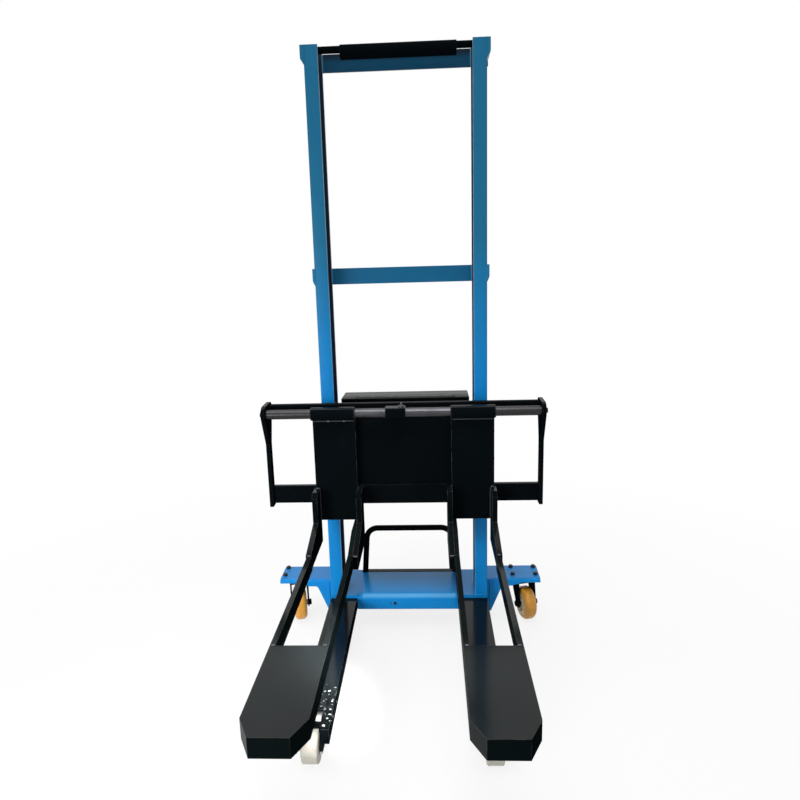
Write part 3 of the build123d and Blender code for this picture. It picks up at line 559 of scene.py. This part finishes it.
def turned(profile, place, way, steps=28):
    """A closed bmesh spun from points of (radius, height) in mm, about an axis that starts at a place."""
    if profile[0][0] > 0:
        profile = profile + profile[:1]
    elif profile[-1][0] > 0:
        profile = profile + [(0, profile[-1][1])]
    bm = bmesh.new()
    points = [bm.verts.new((radius * mm, 0, height * mm)) for radius, height in profile]
    lines = [bm.edges.new(pair) for pair in zip(points, points[1:])]
    bmesh.ops.spin(bm, geom=points + lines, cent=(0, 0, 0), axis=(0, 0, 1), angle=2 * pi, steps=steps,
                   use_merge=True)
    bmesh.ops.remove_doubles(bm, verts=bm.verts, dist=1e-6)
    outward(bm)
    bmesh.ops.transform(bm, matrix=Matrix.Translation(place) @ turns[way], verts=bm.verts)
    return bm


def soften(bm, geom, radius, steps):
    """Round off some edges of a bmesh."""
    bmesh.ops.bevel(bm, geom=geom, offset=radius, offset_type="OFFSET", segments=steps, profile=0.5,
                    affect="EDGES", material=-1)


def plate(low, high, soft):
    """A box between two corners, with its edges softened."""
    bm = bmesh.new()
    bmesh.ops.create_cube(bm, size=1)
    bmesh.ops.scale(bm, vec=Vector(high) - Vector(low), verts=bm.verts)
    bmesh.ops.translate(bm, vec=(Vector(high) + Vector(low)) / 2, verts=bm.verts)
    soften(bm, bm.edges[:], soft, 2)
    return bm


def push(bm, faces, way):
    """Extrude faces of a bmesh along a vector."""
    grown = bmesh.ops.extrude_face_region(bm, geom=faces)["geom"]
    bmesh.ops.translate(bm, vec=way, verts=[part for part in grown if isinstance(part, bmesh.types.BMVert)])


def prism(outline, way):
    """A closed bmesh from an outline of points that is pushed along a vector."""
    bm = bmesh.new()
    push(bm, [bm.faces.new([bm.verts.new(point) for point in outline])], way)
    outward(bm)
    return bm


def join(bm, part, matrix=Matrix()):
    """Add a finished bmesh to a larger one."""
    mesh = bpy.data.meshes.new("part")
    part.to_mesh(mesh)
    part.free()
    mesh.transform(matrix)
    bm.from_mesh(mesh)
    bpy.data.meshes.remove(mesh)


def add_piece(name, bm, body, slot, sharp=32, look=None):
    """Shade a bmesh smooth between its sharp edges, and make it a piece that rides on a body."""
    for face in bm.faces:
        face.smooth = True
    for edge in bm.edges:
        edge.smooth = len(edge.link_faces) == 2 and edge.calc_face_angle(0) < radians(sharp)
    mesh = bpy.data.meshes.new(name)
    bm.to_mesh(mesh)
    bm.free()
    mesh.materials.append(look or finishes[slot])
    made = bpy.data.objects.new(name, mesh)
    scene.collection.objects.link(made)
    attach(made, body)
    print(name, "rides on", body, "with", len(mesh.polygons), "faces")
    return made


sides = {"left": -1, "right": 1}
print("piece helpers ready")

# %% [markdown]
# ## Mast columns
# Each column is a hot rolled channel that opens inwards, where the carriage's rollers run. Rolling leaves
# the back corners well rounded and the lips only a little. A channel is one outline pushed upwards, so the
# outline is drawn as a face, extruded, and its long edges are bevelled.

# %% Columns
back_radius, lip_radius, touching = 0.0035, 0.0012, 1e-5
for side, sign in sides.items():
    back, lip = sign * column_high.x, sign * column_low.x
    inner = back - sign * web
    outline = [(back, front), (lip, front), (lip, front + flange), (inner, front + flange),
               (inner, rear - flange), (lip, rear - flange), (lip, rear), (back, rear)]
    bm = prism([(x, y, column_low.z) for x, y in outline], (0, 0, column_high.z - column_low.z))
    for radius, x in ((back_radius, back), (lip_radius, lip)):
        long_edges = [e for e in bm.edges if e.calc_length() > 1 and abs(e.verts[0].co.x - x) < touching]
        soften(bm, long_edges, radius, 4)
    channel = add_piece(f"{side}_channel", bm, "mast", "blue_paint", look=track_paint)
    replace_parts(channel, f"{side}_column")

# %% [markdown]
# ## Base cover
# A folded sheet of steel closes the base between the legs and hides the lift drive. It lies on the base
# plate and turns down over its rounded front edge, so its ends show as two fine seams. An L of six points,
# pushed sideways and bevelled along both sides of the fold, gives the sheet and its bend. Two rubber
# grommets for cables sit in front.

# %% Cover and cable grommets
base_low, base_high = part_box("base_frame")
deck = base_high.z
cover_half, sheet, cover_rear, bend = 0.140, 0.002, front + 0.148, 0.016
hem, top = base_low.z + 0.0015, deck + sheet
profile = [(front, hem), (front - sheet, hem), (front - sheet, top), (cover_rear, top), (cover_rear, deck),
           (front, deck)]
bm = prism([(-cover_half, y, z) for y, z in profile], (2 * cover_half, 0, 0))
for radius, rise in ((bend + sheet, sheet), (bend, 0)):
    corner = Vector((0, front - rise, deck + rise))
    soften(bm, [e for e in bm.edges if all((v.co - corner).yz.length < touching for v in e.verts)], radius, 8)
add_piece("base_cover", bm, "mast", "blue_paint", look=cover_paint)
grommet = [(0, 0.4), (1.8, 0.4), (2.2, 1.2), (3.4, 1.6), (4.4, 1.0), (4.6, 0)]
bm = bmesh.new()
for x, size in ((-0.056, 0.5), (-0.042, 1.0)):
    ring = [(size * radius, size * rise) for radius, rise in grommet]
    join(bm, turned(ring, (x, front - sheet, deck - 0.026), "-y", 20))
add_piece("cable_grommets", bm, "mast", "battery_case")

# %% [markdown]
# ## Lift chains
# An endless roller chain runs up inside each column, over a small wheel at the top and a drive wheel under
# the base. Two kinds of link alternate: outer plates that hold the pins, and inner plates that hold the
# rollers. Each link is only a few dozen faces, because each loop has over three hundred of them.

# %% Chain links
nominal_pitch, chain_half, chain_inset = 0.009525, 0.004, 0.0045
link_height, link_thick, outer_width, inner_width = 0.0066, 0.0010, 0.0084, 0.0060
pin_radius, pin_proud, roller_radius = 0.0014, 0.0006, 0.0027


def link(pitch, outer):
    """One chain link: two plates across the chain, and its two pins or its roller."""
    width = outer_width if outer else inner_width
    bm = bmesh.new()
    for offset in (-width / 2, width / 2 - link_thick):
        made = bmesh.ops.create_circle(bm, cap_ends=True, segments=10, radius=link_height / 2,
                                       matrix=turns["x"])["verts"]
        for vert in made:
            vert.co.z += pitch / 2 if vert.co.z > 0 else -pitch / 2
            vert.co.x += offset
        push(bm, list({face for vert in made for face in vert.link_faces}), (link_thick, 0, 0))
    radius, depth = (pin_radius, width + pin_proud) if outer else (roller_radius, width - 2 * link_thick)
    for z in (-pitch / 2, pitch / 2) if outer else (-pitch / 2,):
        bmesh.ops.create_cone(bm, cap_ends=True, segments=8, radius1=radius, radius2=radius, depth=depth,
                              matrix=Matrix.Translation((0, 0, z)) @ turns["x"])
    outward(bm)
    return bm


def on_loop(run, radius, height):
    """The point at a distance along a chain loop round two equal wheels."""
    lap, run = divmod(run, height + pi * radius)
    angle = pi - max(0, run - height) / radius
    y, z = radius * cos(angle), min(run, height) + radius * sin(angle)
    return Vector((0, -y, height - z) if lap % 2 else (0, y, z))


low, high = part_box("lift_chains")
radius = (high.y - low.y) / 2 - chain_half
height = high.z - low.z - 2 * (radius + chain_half)
length = 2 * (height + pi * radius)
links = 2 * round(length / nominal_pitch / 2)
pitch = length / links
bm = bmesh.new()
for x in (low.x + chain_inset, high.x - chain_inset):
    foot = Vector((x, (low.y + high.y) / 2, low.z + radius + chain_half))
    for number in range(links):
        start, end = on_loop(number * pitch, radius, height), on_loop((number + 1) * pitch, radius, height)
        tilt = Matrix.Rotation(atan2(start.y - end.y, end.z - start.z), 4, "X")
        join(bm, link(pitch, number % 2 == 0), Matrix.Translation(foot + (start + end) / 2) @ tilt)
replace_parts(add_piece("roller_chains", bm, "mast", "chain_steel"), "lift_chains")
print(links, "links in each loop, pitch", round(pitch / mm, 3), "mm")

# %% [markdown]
# ## Chain wheels
# The top wheels carry teeth that sit between the rollers. A ring of points is drawn, every second pair is
# pulled in to make the gaps, and the ring is bridged to the bore and pushed to its thickness.

# %% Toothed wheels
bore, thick, tooth_root, points_round = 6.15, 4.4, 0.84, 44
for side in sides:
    low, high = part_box(f"{side}_top_chain_wheel")
    bm = bmesh.new()
    rim = bmesh.ops.create_circle(bm, segments=points_round, radius=(high.y - low.y) / 2)["verts"]
    for number, vert in enumerate(rim):
        if number % 4 > 1:
            vert.co *= tooth_root
    bmesh.ops.create_circle(bm, segments=points_round, radius=bore * mm)
    bmesh.ops.bridge_loops(bm, edges=bm.edges[:])
    push(bm, bm.faces[:], (0, 0, thick * mm))
    bmesh.ops.translate(bm, vec=(0, 0, -thick / 2 * mm), verts=bm.verts)
    outward(bm)
    root, half = thick / 2 - 0.5, (high.x - low.x) / 2 / mm
    for way in ("z", "-z"):
        join(bm, turned([(bore, root), (10.5, root), (10.0, half), (bore, half)], (0, 0, 0), way))
    bmesh.ops.transform(bm, matrix=Matrix.Translation((low + high) / 2) @ turns["x"], verts=bm.verts)
    wheel = add_piece(f"{side}_toothed_wheel", bm, f"{side}_top_chain_wheel", "chain_steel")
    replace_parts(wheel, f"{side}_top_chain_wheel")

# %% [markdown]
# ## Weld beads
# The frame is welded by hand, and the beads show at every joint as a string of small ripples. A disc is
# extruded along the joint step by step, and each step is a little wider or narrower than the last. A
# run is given by its two ends, on the right side.

# %% Bead helpers
ripple_length, ripple_size, bead_sharp = 0.0032, 0.84, 60


def bead(start, end, radius):
    """A rippled weld bead between two points."""
    start, end = Vector(start), Vector(end)
    ripples = max(4, round((end - start).length / ripple_length))
    step = (end - start) / ripples
    aim = (end - start).to_track_quat("Z", "Y").to_matrix().to_4x4()
    bm = bmesh.new()
    bmesh.ops.create_circle(bm, cap_ends=True, segments=7, radius=radius,
                            matrix=Matrix.Translation(start) @ aim)
    tip = bm.faces[:][0]
    for number in range(ripples):
        grown = bmesh.ops.extrude_face_region(bm, geom=[tip])["geom"]
        if number:
            bmesh.ops.delete(bm, geom=[tip], context="FACES_ONLY")
        tip = [part for part in grown if isinstance(part, bmesh.types.BMFace)][0]
        centre = start + step * (number + 1)
        bmesh.ops.translate(bm, vec=step, verts=tip.verts)
        size = ripple_size if number % 2 else 1 / ripple_size
        bmesh.ops.scale(bm, vec=(size, size, size), space=Matrix.Translation(-centre), verts=tip.verts)
    outward(bm)
    return bm


def beads(name, runs, signs, body, slot, radius, look=None):
    """One piece from weld runs, on the right (sign 1), on the left (sign -1) or on both sides."""
    bm = bmesh.new()
    for sign in signs:
        for run in runs:
            join(bm, bead(*[(sign * x, y, z) for x, y, z in run], radius))
    add_piece(name, bm, body, slot, bead_sharp, look)


def across(y, z, *ends):
    """A run from side to side."""
    return [(x, y, z) for x in ends]


def along(x, z, *ends):
    """A run from front to rear."""
    return [(x, y, z) for y in ends]


def upright(x, y, *ends):
    """A run up or down."""
    return [(x, y, z) for z in ends]


print("bead helpers ready")

# %% [markdown]
# On the frame, beads run along the columns' feet, along the caster arms and their cheeks, and behind the
# columns at the crossbars.

# %% Welds of the frame
arm_low, arm_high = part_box("right_caster_arm")
cheek_x, cheek_front, cheek_rear = column_high.x + 0.012, front + 0.046, front + 0.130
runs = [across(y, deck, column_low.x + 0.002, column_high.x - 0.002) for y in (front, rear)]
runs += [
    along(column_high.x, arm_high.z, cheek_front + 0.002, rear - 0.004),
    upright(cheek_x, cheek_front, arm_high.z - 0.008, arm_low.z + 0.003),
    along(cheek_x, arm_high.z - 0.0065, cheek_front + 0.009, cheek_rear),
]
for bar, below in (("mid_crossbar", 0), ("top_crossbar", 0.002)):
    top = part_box(bar)[1].z - below
    runs.append(upright(column_low.x - 0.0005, rear + 0.0005, top - 0.043, top - 0.002))
beads("frame_welds", runs, (1, -1), "mast", "blue_paint", radius=0.0022)

# %% [markdown]
# Where a crossbar's wings lie against the columns, the weld has been ground flush. A three cornered bar
# fills the column's rounded edge there.

# %% Ground corners
bm = bmesh.new()
for sign in sides.values():
    for bar, wing in (("mid_crossbar", 0.045), ("top_crossbar", 0.046)):
        edge, bottom = sign * column_high.x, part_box(bar)[1].z - wing
        outline = [(edge - sign * back_radius, front), (edge, front), (edge, front + back_radius)]
        join(bm, prism([(x, y, bottom) for x, y in outline], (0, 0, wing)))
add_piece("ground_corners", bm, "mast", "blue_paint")

# %% [markdown]
# On the carriage, beads join the bottom bar to the end plates, and the centre plate to the side plates.

# %% Welds of the carriage
carriage_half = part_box("carriage_frame")[1].x
end_plate_in, side_plate_in, centre_plate_rear = carriage_half - 0.010, 0.172, front - 0.060
side_plate_weld = (0.446, 0.694)
bar_front, bar_bottom, bar_top = front - 0.080, 0.441, 0.491
runs = [
    upright(end_plate_in, bar_front, bar_bottom + 0.003, bar_top - 0.003),
    along(end_plate_in, bar_top, bar_front + 0.002, bar_front + 0.011),
    upright(side_plate_in, centre_plate_rear, *side_plate_weld),
]
beads("carriage_welds", runs, (1, -1), "carriage", "black_paint", radius=0.0022)

# %% [markdown]
# On each fork, painted beads join the back plate to its arms and its sleeve, and the rails to the tip box.
# Their paint is a lighter grey than the fork's, as a painted highlight on the beads.
# Short beads at the corners were welded after painting and are still bare. Each fork is a body, so each
# side gets its own pieces.

# %% Welds of the forks
fork_in, fork_out, outer_arm_in, rail = 0.130, 0.246, 0.236, 0.012
plate_front, foot_y, box_rear = front - 0.0902, front - 0.264, front - 0.664
plate_bottom, arm_top, sleeve_seam = 0.393, 0.486, 0.6776
blade_low, blade_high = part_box("right_fork_blade")
bottom, top = blade_low.z, blade_high.z
painted = [upright(x, plate_front, plate_bottom + 0.004, arm_top - 0.002) for x in (fork_in, outer_arm_in)]
painted += [across(plate_front - 0.0006, sleeve_seam, fork_in + 0.004, fork_out - 0.004)]
painted += [upright(x, box_rear, top - 0.002, bottom + 0.002) for x in (fork_in + rail, fork_out - rail)]
bare = [
    across(plate_front, arm_top, outer_arm_in + 0.001, fork_out - 0.001),
    along(fork_in - 0.0005, arm_top, plate_front + 0.001, plate_front + 0.008),
    across(foot_y, top, outer_arm_in + 0.001, fork_out - 0.001),
    across(foot_y, top - 0.002, fork_in - 0.012, fork_in - 0.002),
    across(box_rear, top, fork_in + 0.004, fork_in + rail - 0.001),
    across(box_rear, top, fork_out - rail + 0.001, fork_out - 0.004),
]
for side, sign in sides.items():
    fork = f"{side}_fork"
    beads(f"{fork}_welds", painted, [sign], fork, "charcoal_paint", radius=0.0021, look=weld_highlight_paint)
    beads(f"{side}_bare_welds", bare, [sign], fork, "bright_steel", radius=0.0024)

# %% [markdown]
# A gusset fills the corner under each back plate, between the inner arm and the end of its rail. It is an
# outline seen from the side, pushed sideways by the rail's width.

# %% Fork gussets
gusset_rear, gusset_front = front - 0.081, front - 0.172
outline = [(gusset_rear, plate_bottom), (gusset_front, plate_bottom), (foot_y, top), (gusset_rear, top)]
for side, sign in sides.items():
    bm = prism([(sign * fork_in, y, z) for y, z in outline], (sign * rail, 0, 0))
    add_piece(f"{side}_fork_gusset", bm, f"{side}_fork", "charcoal_paint")

# %% [markdown]
# ## Washers and caps
# The bolts of the casters and legs sit on washers, and the bogie pins end in domed caps. All are turned
# shapes, so each is one short profile.

# %% Washers and pin caps
caster_x, caster_y, bolt_x, bolt_y = 0.354, front + 0.100, 0.035, 0.025
leg_bolt_x, leg_bolts_y, leg_in = 0.219, (front + 0.104, front + 0.148), 0.173
caster_washer = [(4.2, 0), (7.6, 0), (7.6, 0.8), (7.3, 1.1), (4.2, 1.1)]
leg_washer = [(5.3, 0), (9.4, 0), (9.4, 1.0), (9.0, 1.4), (5.3, 1.4)]
bm = bmesh.new()
for sign in sides.values():
    for x in (caster_x - bolt_x, caster_x + bolt_x):
        for y in (caster_y - bolt_y, caster_y + bolt_y):
            join(bm, turned(caster_washer, (sign * x, y, arm_high.z), "z", 24))
    for y in leg_bolts_y:
        join(bm, turned(leg_washer, (sign * leg_bolt_x, y, deck), "z", 24))
add_piece("bolt_washers", bm, "mast", "black_steel")
cap = [(0, 3.4), (5.0, 3.1), (8.2, 2.0), (9.6, 0.8), (9.8, 0)]
pin_low, pin_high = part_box("bogie_pins")
pin = (pin_low + pin_high) / 2
bm = bmesh.new()
for sign in sides.values():
    join(bm, turned(cap, (sign * leg_in, pin.y, pin.z), "-x" if sign > 0 else "x", 24))
add_piece("pin_caps", bm, "mast", "black_steel")

# %% [markdown]
# ## Rollers and casters
# Each nylon roller turns on a sealed bearing, and the caster wheels have a ball bearing behind a pressed
# cover. The yokes hang from a swivel race that stands out as a ring under the plate, and a spacer keeps
# each wheel off its yoke. They ride on the same bodies as what they are pressed into.

# %% Roller bearings
seal = [(6.4, 0.4), (8.8, 0.4), (9.2, 0.2), (12.4, 0.2), (12.8, 0.4), (15.8, 0.4), (16.2, -0.4)]
for side in sides:
    for row in ("front", "rear"):
        low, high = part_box(f"{side}_{row}_roller")
        centre = (low + high) / 2
        bm = bmesh.new()
        for way, x in (("x", high.x), ("-x", low.x)):
            join(bm, turned(seal, (x, centre.y, centre.z), way))
        add_piece(f"{side}_{row}_bearings", bm, f"{side}_{row}_roller", "bright_steel")

# %% Caster races, spacers and wheel bearings
caster_yaw = radians(15)
axle_way = Matrix.Rotation(caster_yaw, 4, "Z") @ turns["x"]
plate_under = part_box("caster_plates")[0].z
race = [(28.2, -1.2), (30.0, -1.8), (31.2, -3.4), (30.4, -5.4), (28.2, -6.0)]
spacer = [(5.3, 19.6), (8.5, 19.6), (8.5, 23.9), (5.3, 23.9)]
cover = [(6.0, 19.0), (6.6, 19.4), (9.8, 19.4), (10.4, 19.1), (12.2, 19.3), (12.7, 18.8)]
for side, sign in sides.items():
    low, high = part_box(f"{side}_caster_hub")
    wheel = Matrix.Translation((low + high) / 2) @ axle_way
    yoke_bm = turned(race, (sign * caster_x, caster_y, plate_under), "z", 36)
    wheel_bm = bmesh.new()
    for way in ("z", "-z"):
        join(yoke_bm, turned(spacer, (0, 0, 0), way, 24), wheel)
        join(wheel_bm, turned(cover, (0, 0, 0), way), wheel)
    add_piece(f"{side}_swivel_race", yoke_bm, f"{side}_caster_yoke", "bright_steel")
    add_piece(f"{side}_wheel_bearings", wheel_bm, f"{side}_caster_wheel", "bright_steel")

# %% [markdown]
# ## Hoop feet and shaft ends
# The hoop's tube is welded to its foot bar, and the foot bar to the base. The two round bars of the
# carriage are held by a bolt and a washer in each end.

# %% Hoop welds and end bolts
low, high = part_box("guard_hoop")
foot_top, tube, inset = low.z + 0.003, 0.018, 0.004
bm = bead((low.x + inset, low.y, low.z), (high.x - inset, low.y, low.z), 0.0014)
for x in (low.x + tube, high.x - tube):
    join(bm, bead((x, low.y + inset, foot_top), (x, high.y - inset, foot_top), 0.0018))
add_piece("hoop_welds", bm, "mast", "black_paint", bead_sharp)
fork_shaft, rear_bar = (front - 0.100, 0.6995), (front - 0.0498, 0.709)
washer = [(0, 1.6), (10.5, 1.6), (11.0, 1.2), (11.0, 0)]
hexagon = [(0, 6.6), (6.8, 6.6), (7.5, 6.0), (7.5, 1.6)]
bm = bmesh.new()
for y, z in (fork_shaft, rear_bar):
    for way, x in (("x", carriage_half), ("-x", -carriage_half)):
        join(bm, turned(washer, (x, y, z), way))
        join(bm, turned(hexagon, (x, y, z), way, 6))
add_piece("shaft_end_bolts", bm, "carriage", "black_steel")

# %% [markdown]
# ## Power box
# A lid with a turned down rim closes the box behind the mast. A plain strip lies along its front, and the
# sides have pressed louvres to breathe. A louvre is a long turned shape, half sunk in the side.

# %% Lid, strip and louvres
box_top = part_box("power_box")[1].z
panel_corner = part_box("control_panel")[1]
panel, box_side = panel_corner.y, panel_corner.x
lid_side, lid_front, lid_rim = box_side + 0.0015, front + 0.0862, box_top - 0.016
lid_top, strip_top, strip_half = box_top + 0.0016, box_top + 0.0028, 0.150
strip_front, strip_rear, strip_screw = front + 0.0960, front + 0.1240, 0.143
bm = plate((-lid_side, lid_front, lid_rim), (lid_side, panel + 0.0014, lid_top), 0.0008)
add_piece("box_lid", bm, "mast", "black_paint")
bm = plate((-strip_half, strip_front, lid_top), (strip_half, strip_rear, strip_top), 0.0004)
head = [(0, 1.6), (2.2, 1.4), (3.4, 0.7), (3.7, 0)]
for x in (-strip_screw, strip_screw):
    join(bm, turned(head, (x, (strip_front + strip_rear) / 2, strip_top), "z", 14))
add_piece("lid_strip", bm, "mast", "battery_case")
hood = [(0, 30), (1.6, 29.2), (2.6, 27.5), (3.0, 25), (3.0, -25), (2.6, -27.5), (1.6, -29.2), (0, -30)]
louvre_y, louvres_mm = front + 0.136, range(430, 540, 18)
bm = bmesh.new()
for sign in sides.values():
    for z in louvres_mm:
        join(bm, turned(hood, (sign * box_side, louvre_y, z * mm), "y", 14))
add_piece("box_louvres", bm, "mast", "black_paint")

# %% [markdown]
# The panel at the back holds the controls, with a collar round each, a charge gauge of four bars and a
# socket for the charger.

# %% Panel collars, screws, gauge and socket
bm = bmesh.new()
for name in ("up_button", "down_button", "key_switch", "stop_button"):
    low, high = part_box(name)
    centre, reach = (low + high) / 2, (high.x - low.x) / 2 / mm
    ring = ((0.7, 0), (4.2, 0), (4.0, 2.6), (3.0, 4.6), (1.4, 5.0), (0.7, 4.4))
    collar = [(reach + radius, rise) for radius, rise in ring]
    join(bm, turned(collar, (centre.x, panel, centre.z), "y", 36))
add_piece("control_collars", bm, "mast", "bright_steel")
screw, screw_x, screws_z = [(0, 2.2), (2.8, 2.0), (4.4, 1.0), (4.7, 0)], 0.178, (0.386, 0.530, 0.672)
bm = bmesh.new()
for x in (-screw_x, screw_x):
    for z in screws_z:
        join(bm, turned(screw, (x, panel, z), "y", 16))
add_piece("panel_screws", bm, "mast", "black_steel")
gauge_x, gauge_z = (-0.100, -0.034), (0.566, 0.590)
bm = plate((gauge_x[0], panel, gauge_z[0]), (gauge_x[1], panel + 0.0030, gauge_z[1]), 0.0012)
add_piece("charge_gauge", bm, "mast", "battery_case")
first_bar, bar_step, bar_width, bar_z = -0.0925, 0.0148, 0.0110, (0.5725, 0.5835)
for number, slot in enumerate(("red_button", "white_button", "green_button", "green_button")):
    x = first_bar + number * bar_step
    bm = plate((x, panel + 0.0026, bar_z[0]), (x + bar_width, panel + 0.0036, bar_z[1]), 0.0004)
    add_piece(f"gauge_bar_{number + 1}", bm, "mast", slot)
socket = [(0, 3.5), (8.5, 3.5), (9.0, 6.0), (12.5, 6.8), (15.0, 5.6), (15.8, 2.0), (19.0, 1.4), (19.2, 0)]
socket_place = (0.110, panel, 0.470)
add_piece("charge_socket", turned(socket, socket_place, "y", 36), "mast", "battery_case")

# %% [markdown]
# ## Gearmotor
# The lift drive hangs under the base plate: a cast worm box with an electric motor on its side. The motor
# gets its cooling rings and fan cover as one turned outline, and the worm box a round cover with screws.

# %% Cooling rings and gear cover
gear_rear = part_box("gearmotor")[1].y
axis_y, axis_z, gear_x, screw_out = front + 0.105, 0.075, 0.025, 0.0135
inner, skin, ridge, first_ring, ring_step = 28.3, 28.9, 29.7, -112, 8.2
outline = [(inner, -138.5), (skin, -138.5), (ridge, -137.5), (ridge, -118), (skin, -117)]
for ring in range(11):
    x = first_ring + ring * ring_step
    outline += [(skin, x), (ridge, x + 0.6), (ridge, x + 3.6), (skin, x + 4.2)]
outline += [(inner, outline[-1][1])]
bm = turned(outline, (0, axis_y, axis_z), "x", 40)
disc = [(0, 3.0), (15.0, 3.0), (16.0, 2.4), (21.5, 2.0), (22.5, 1.0), (22.5, 0)]
join(bm, turned(disc, (gear_x, gear_rear, axis_z), "y", 36))
gear_screw = [(0, 4.0), (2.2, 3.8), (2.8, 3.2), (2.8, 1.8)]
for z in (axis_z - screw_out, axis_z + screw_out):
    for x in (gear_x - screw_out, gear_x + screw_out):
        join(bm, turned(gear_screw, (x, gear_rear, z), "y", 14))
add_piece("motor_rings", bm, "mast", "motor_grey")

# %% [markdown]
# ## The floor
# The machine stands on a plain pale floor that runs to the horizon. It glows white to the camera further
# out, and a little less under the machine, so that its shadow shows. It is a stage, and not a part of
# the machine.

# %% Floor
glow_under, under_to, full_glow_at = 0.82, 0.5, 2.0
bm = bmesh.new()
bmesh.ops.create_grid(bm, x_segments=1, y_segments=1, size=40)
floor_mesh = bpy.data.meshes.new("floor")
bm.to_mesh(floor_mesh)
bm.free()
floor = bpy.data.objects.new("floor", floor_mesh)
scene.collection.objects.link(floor)
screed, tree, surface = shader("pale_floor")
fill(surface, {"Base Color": (0.9, 0.9, 0.9, 1), "Roughness": 0.9, "Specular IOR Level": 0.0})
away = add(tree, "VectorMath", {0: coords(tree)}, operation="LENGTH").outputs["Value"]
glowing = times(tree, in_view(tree), spread(tree, away, under_to, full_glow_at, glow_under, 1))
glow = add(tree, "Emission", {"Color": white, "Strength": 1.0}).outputs[0]
mixed = add(tree, "MixShader", {0: glowing, 1: surface.outputs[0], 2: glow}).outputs[0]
fill(tree.nodes["Material Output"], {"Surface": mixed})
floor_mesh.materials.append(screed)
print("floor laid, all white from", full_glow_at, "m out")
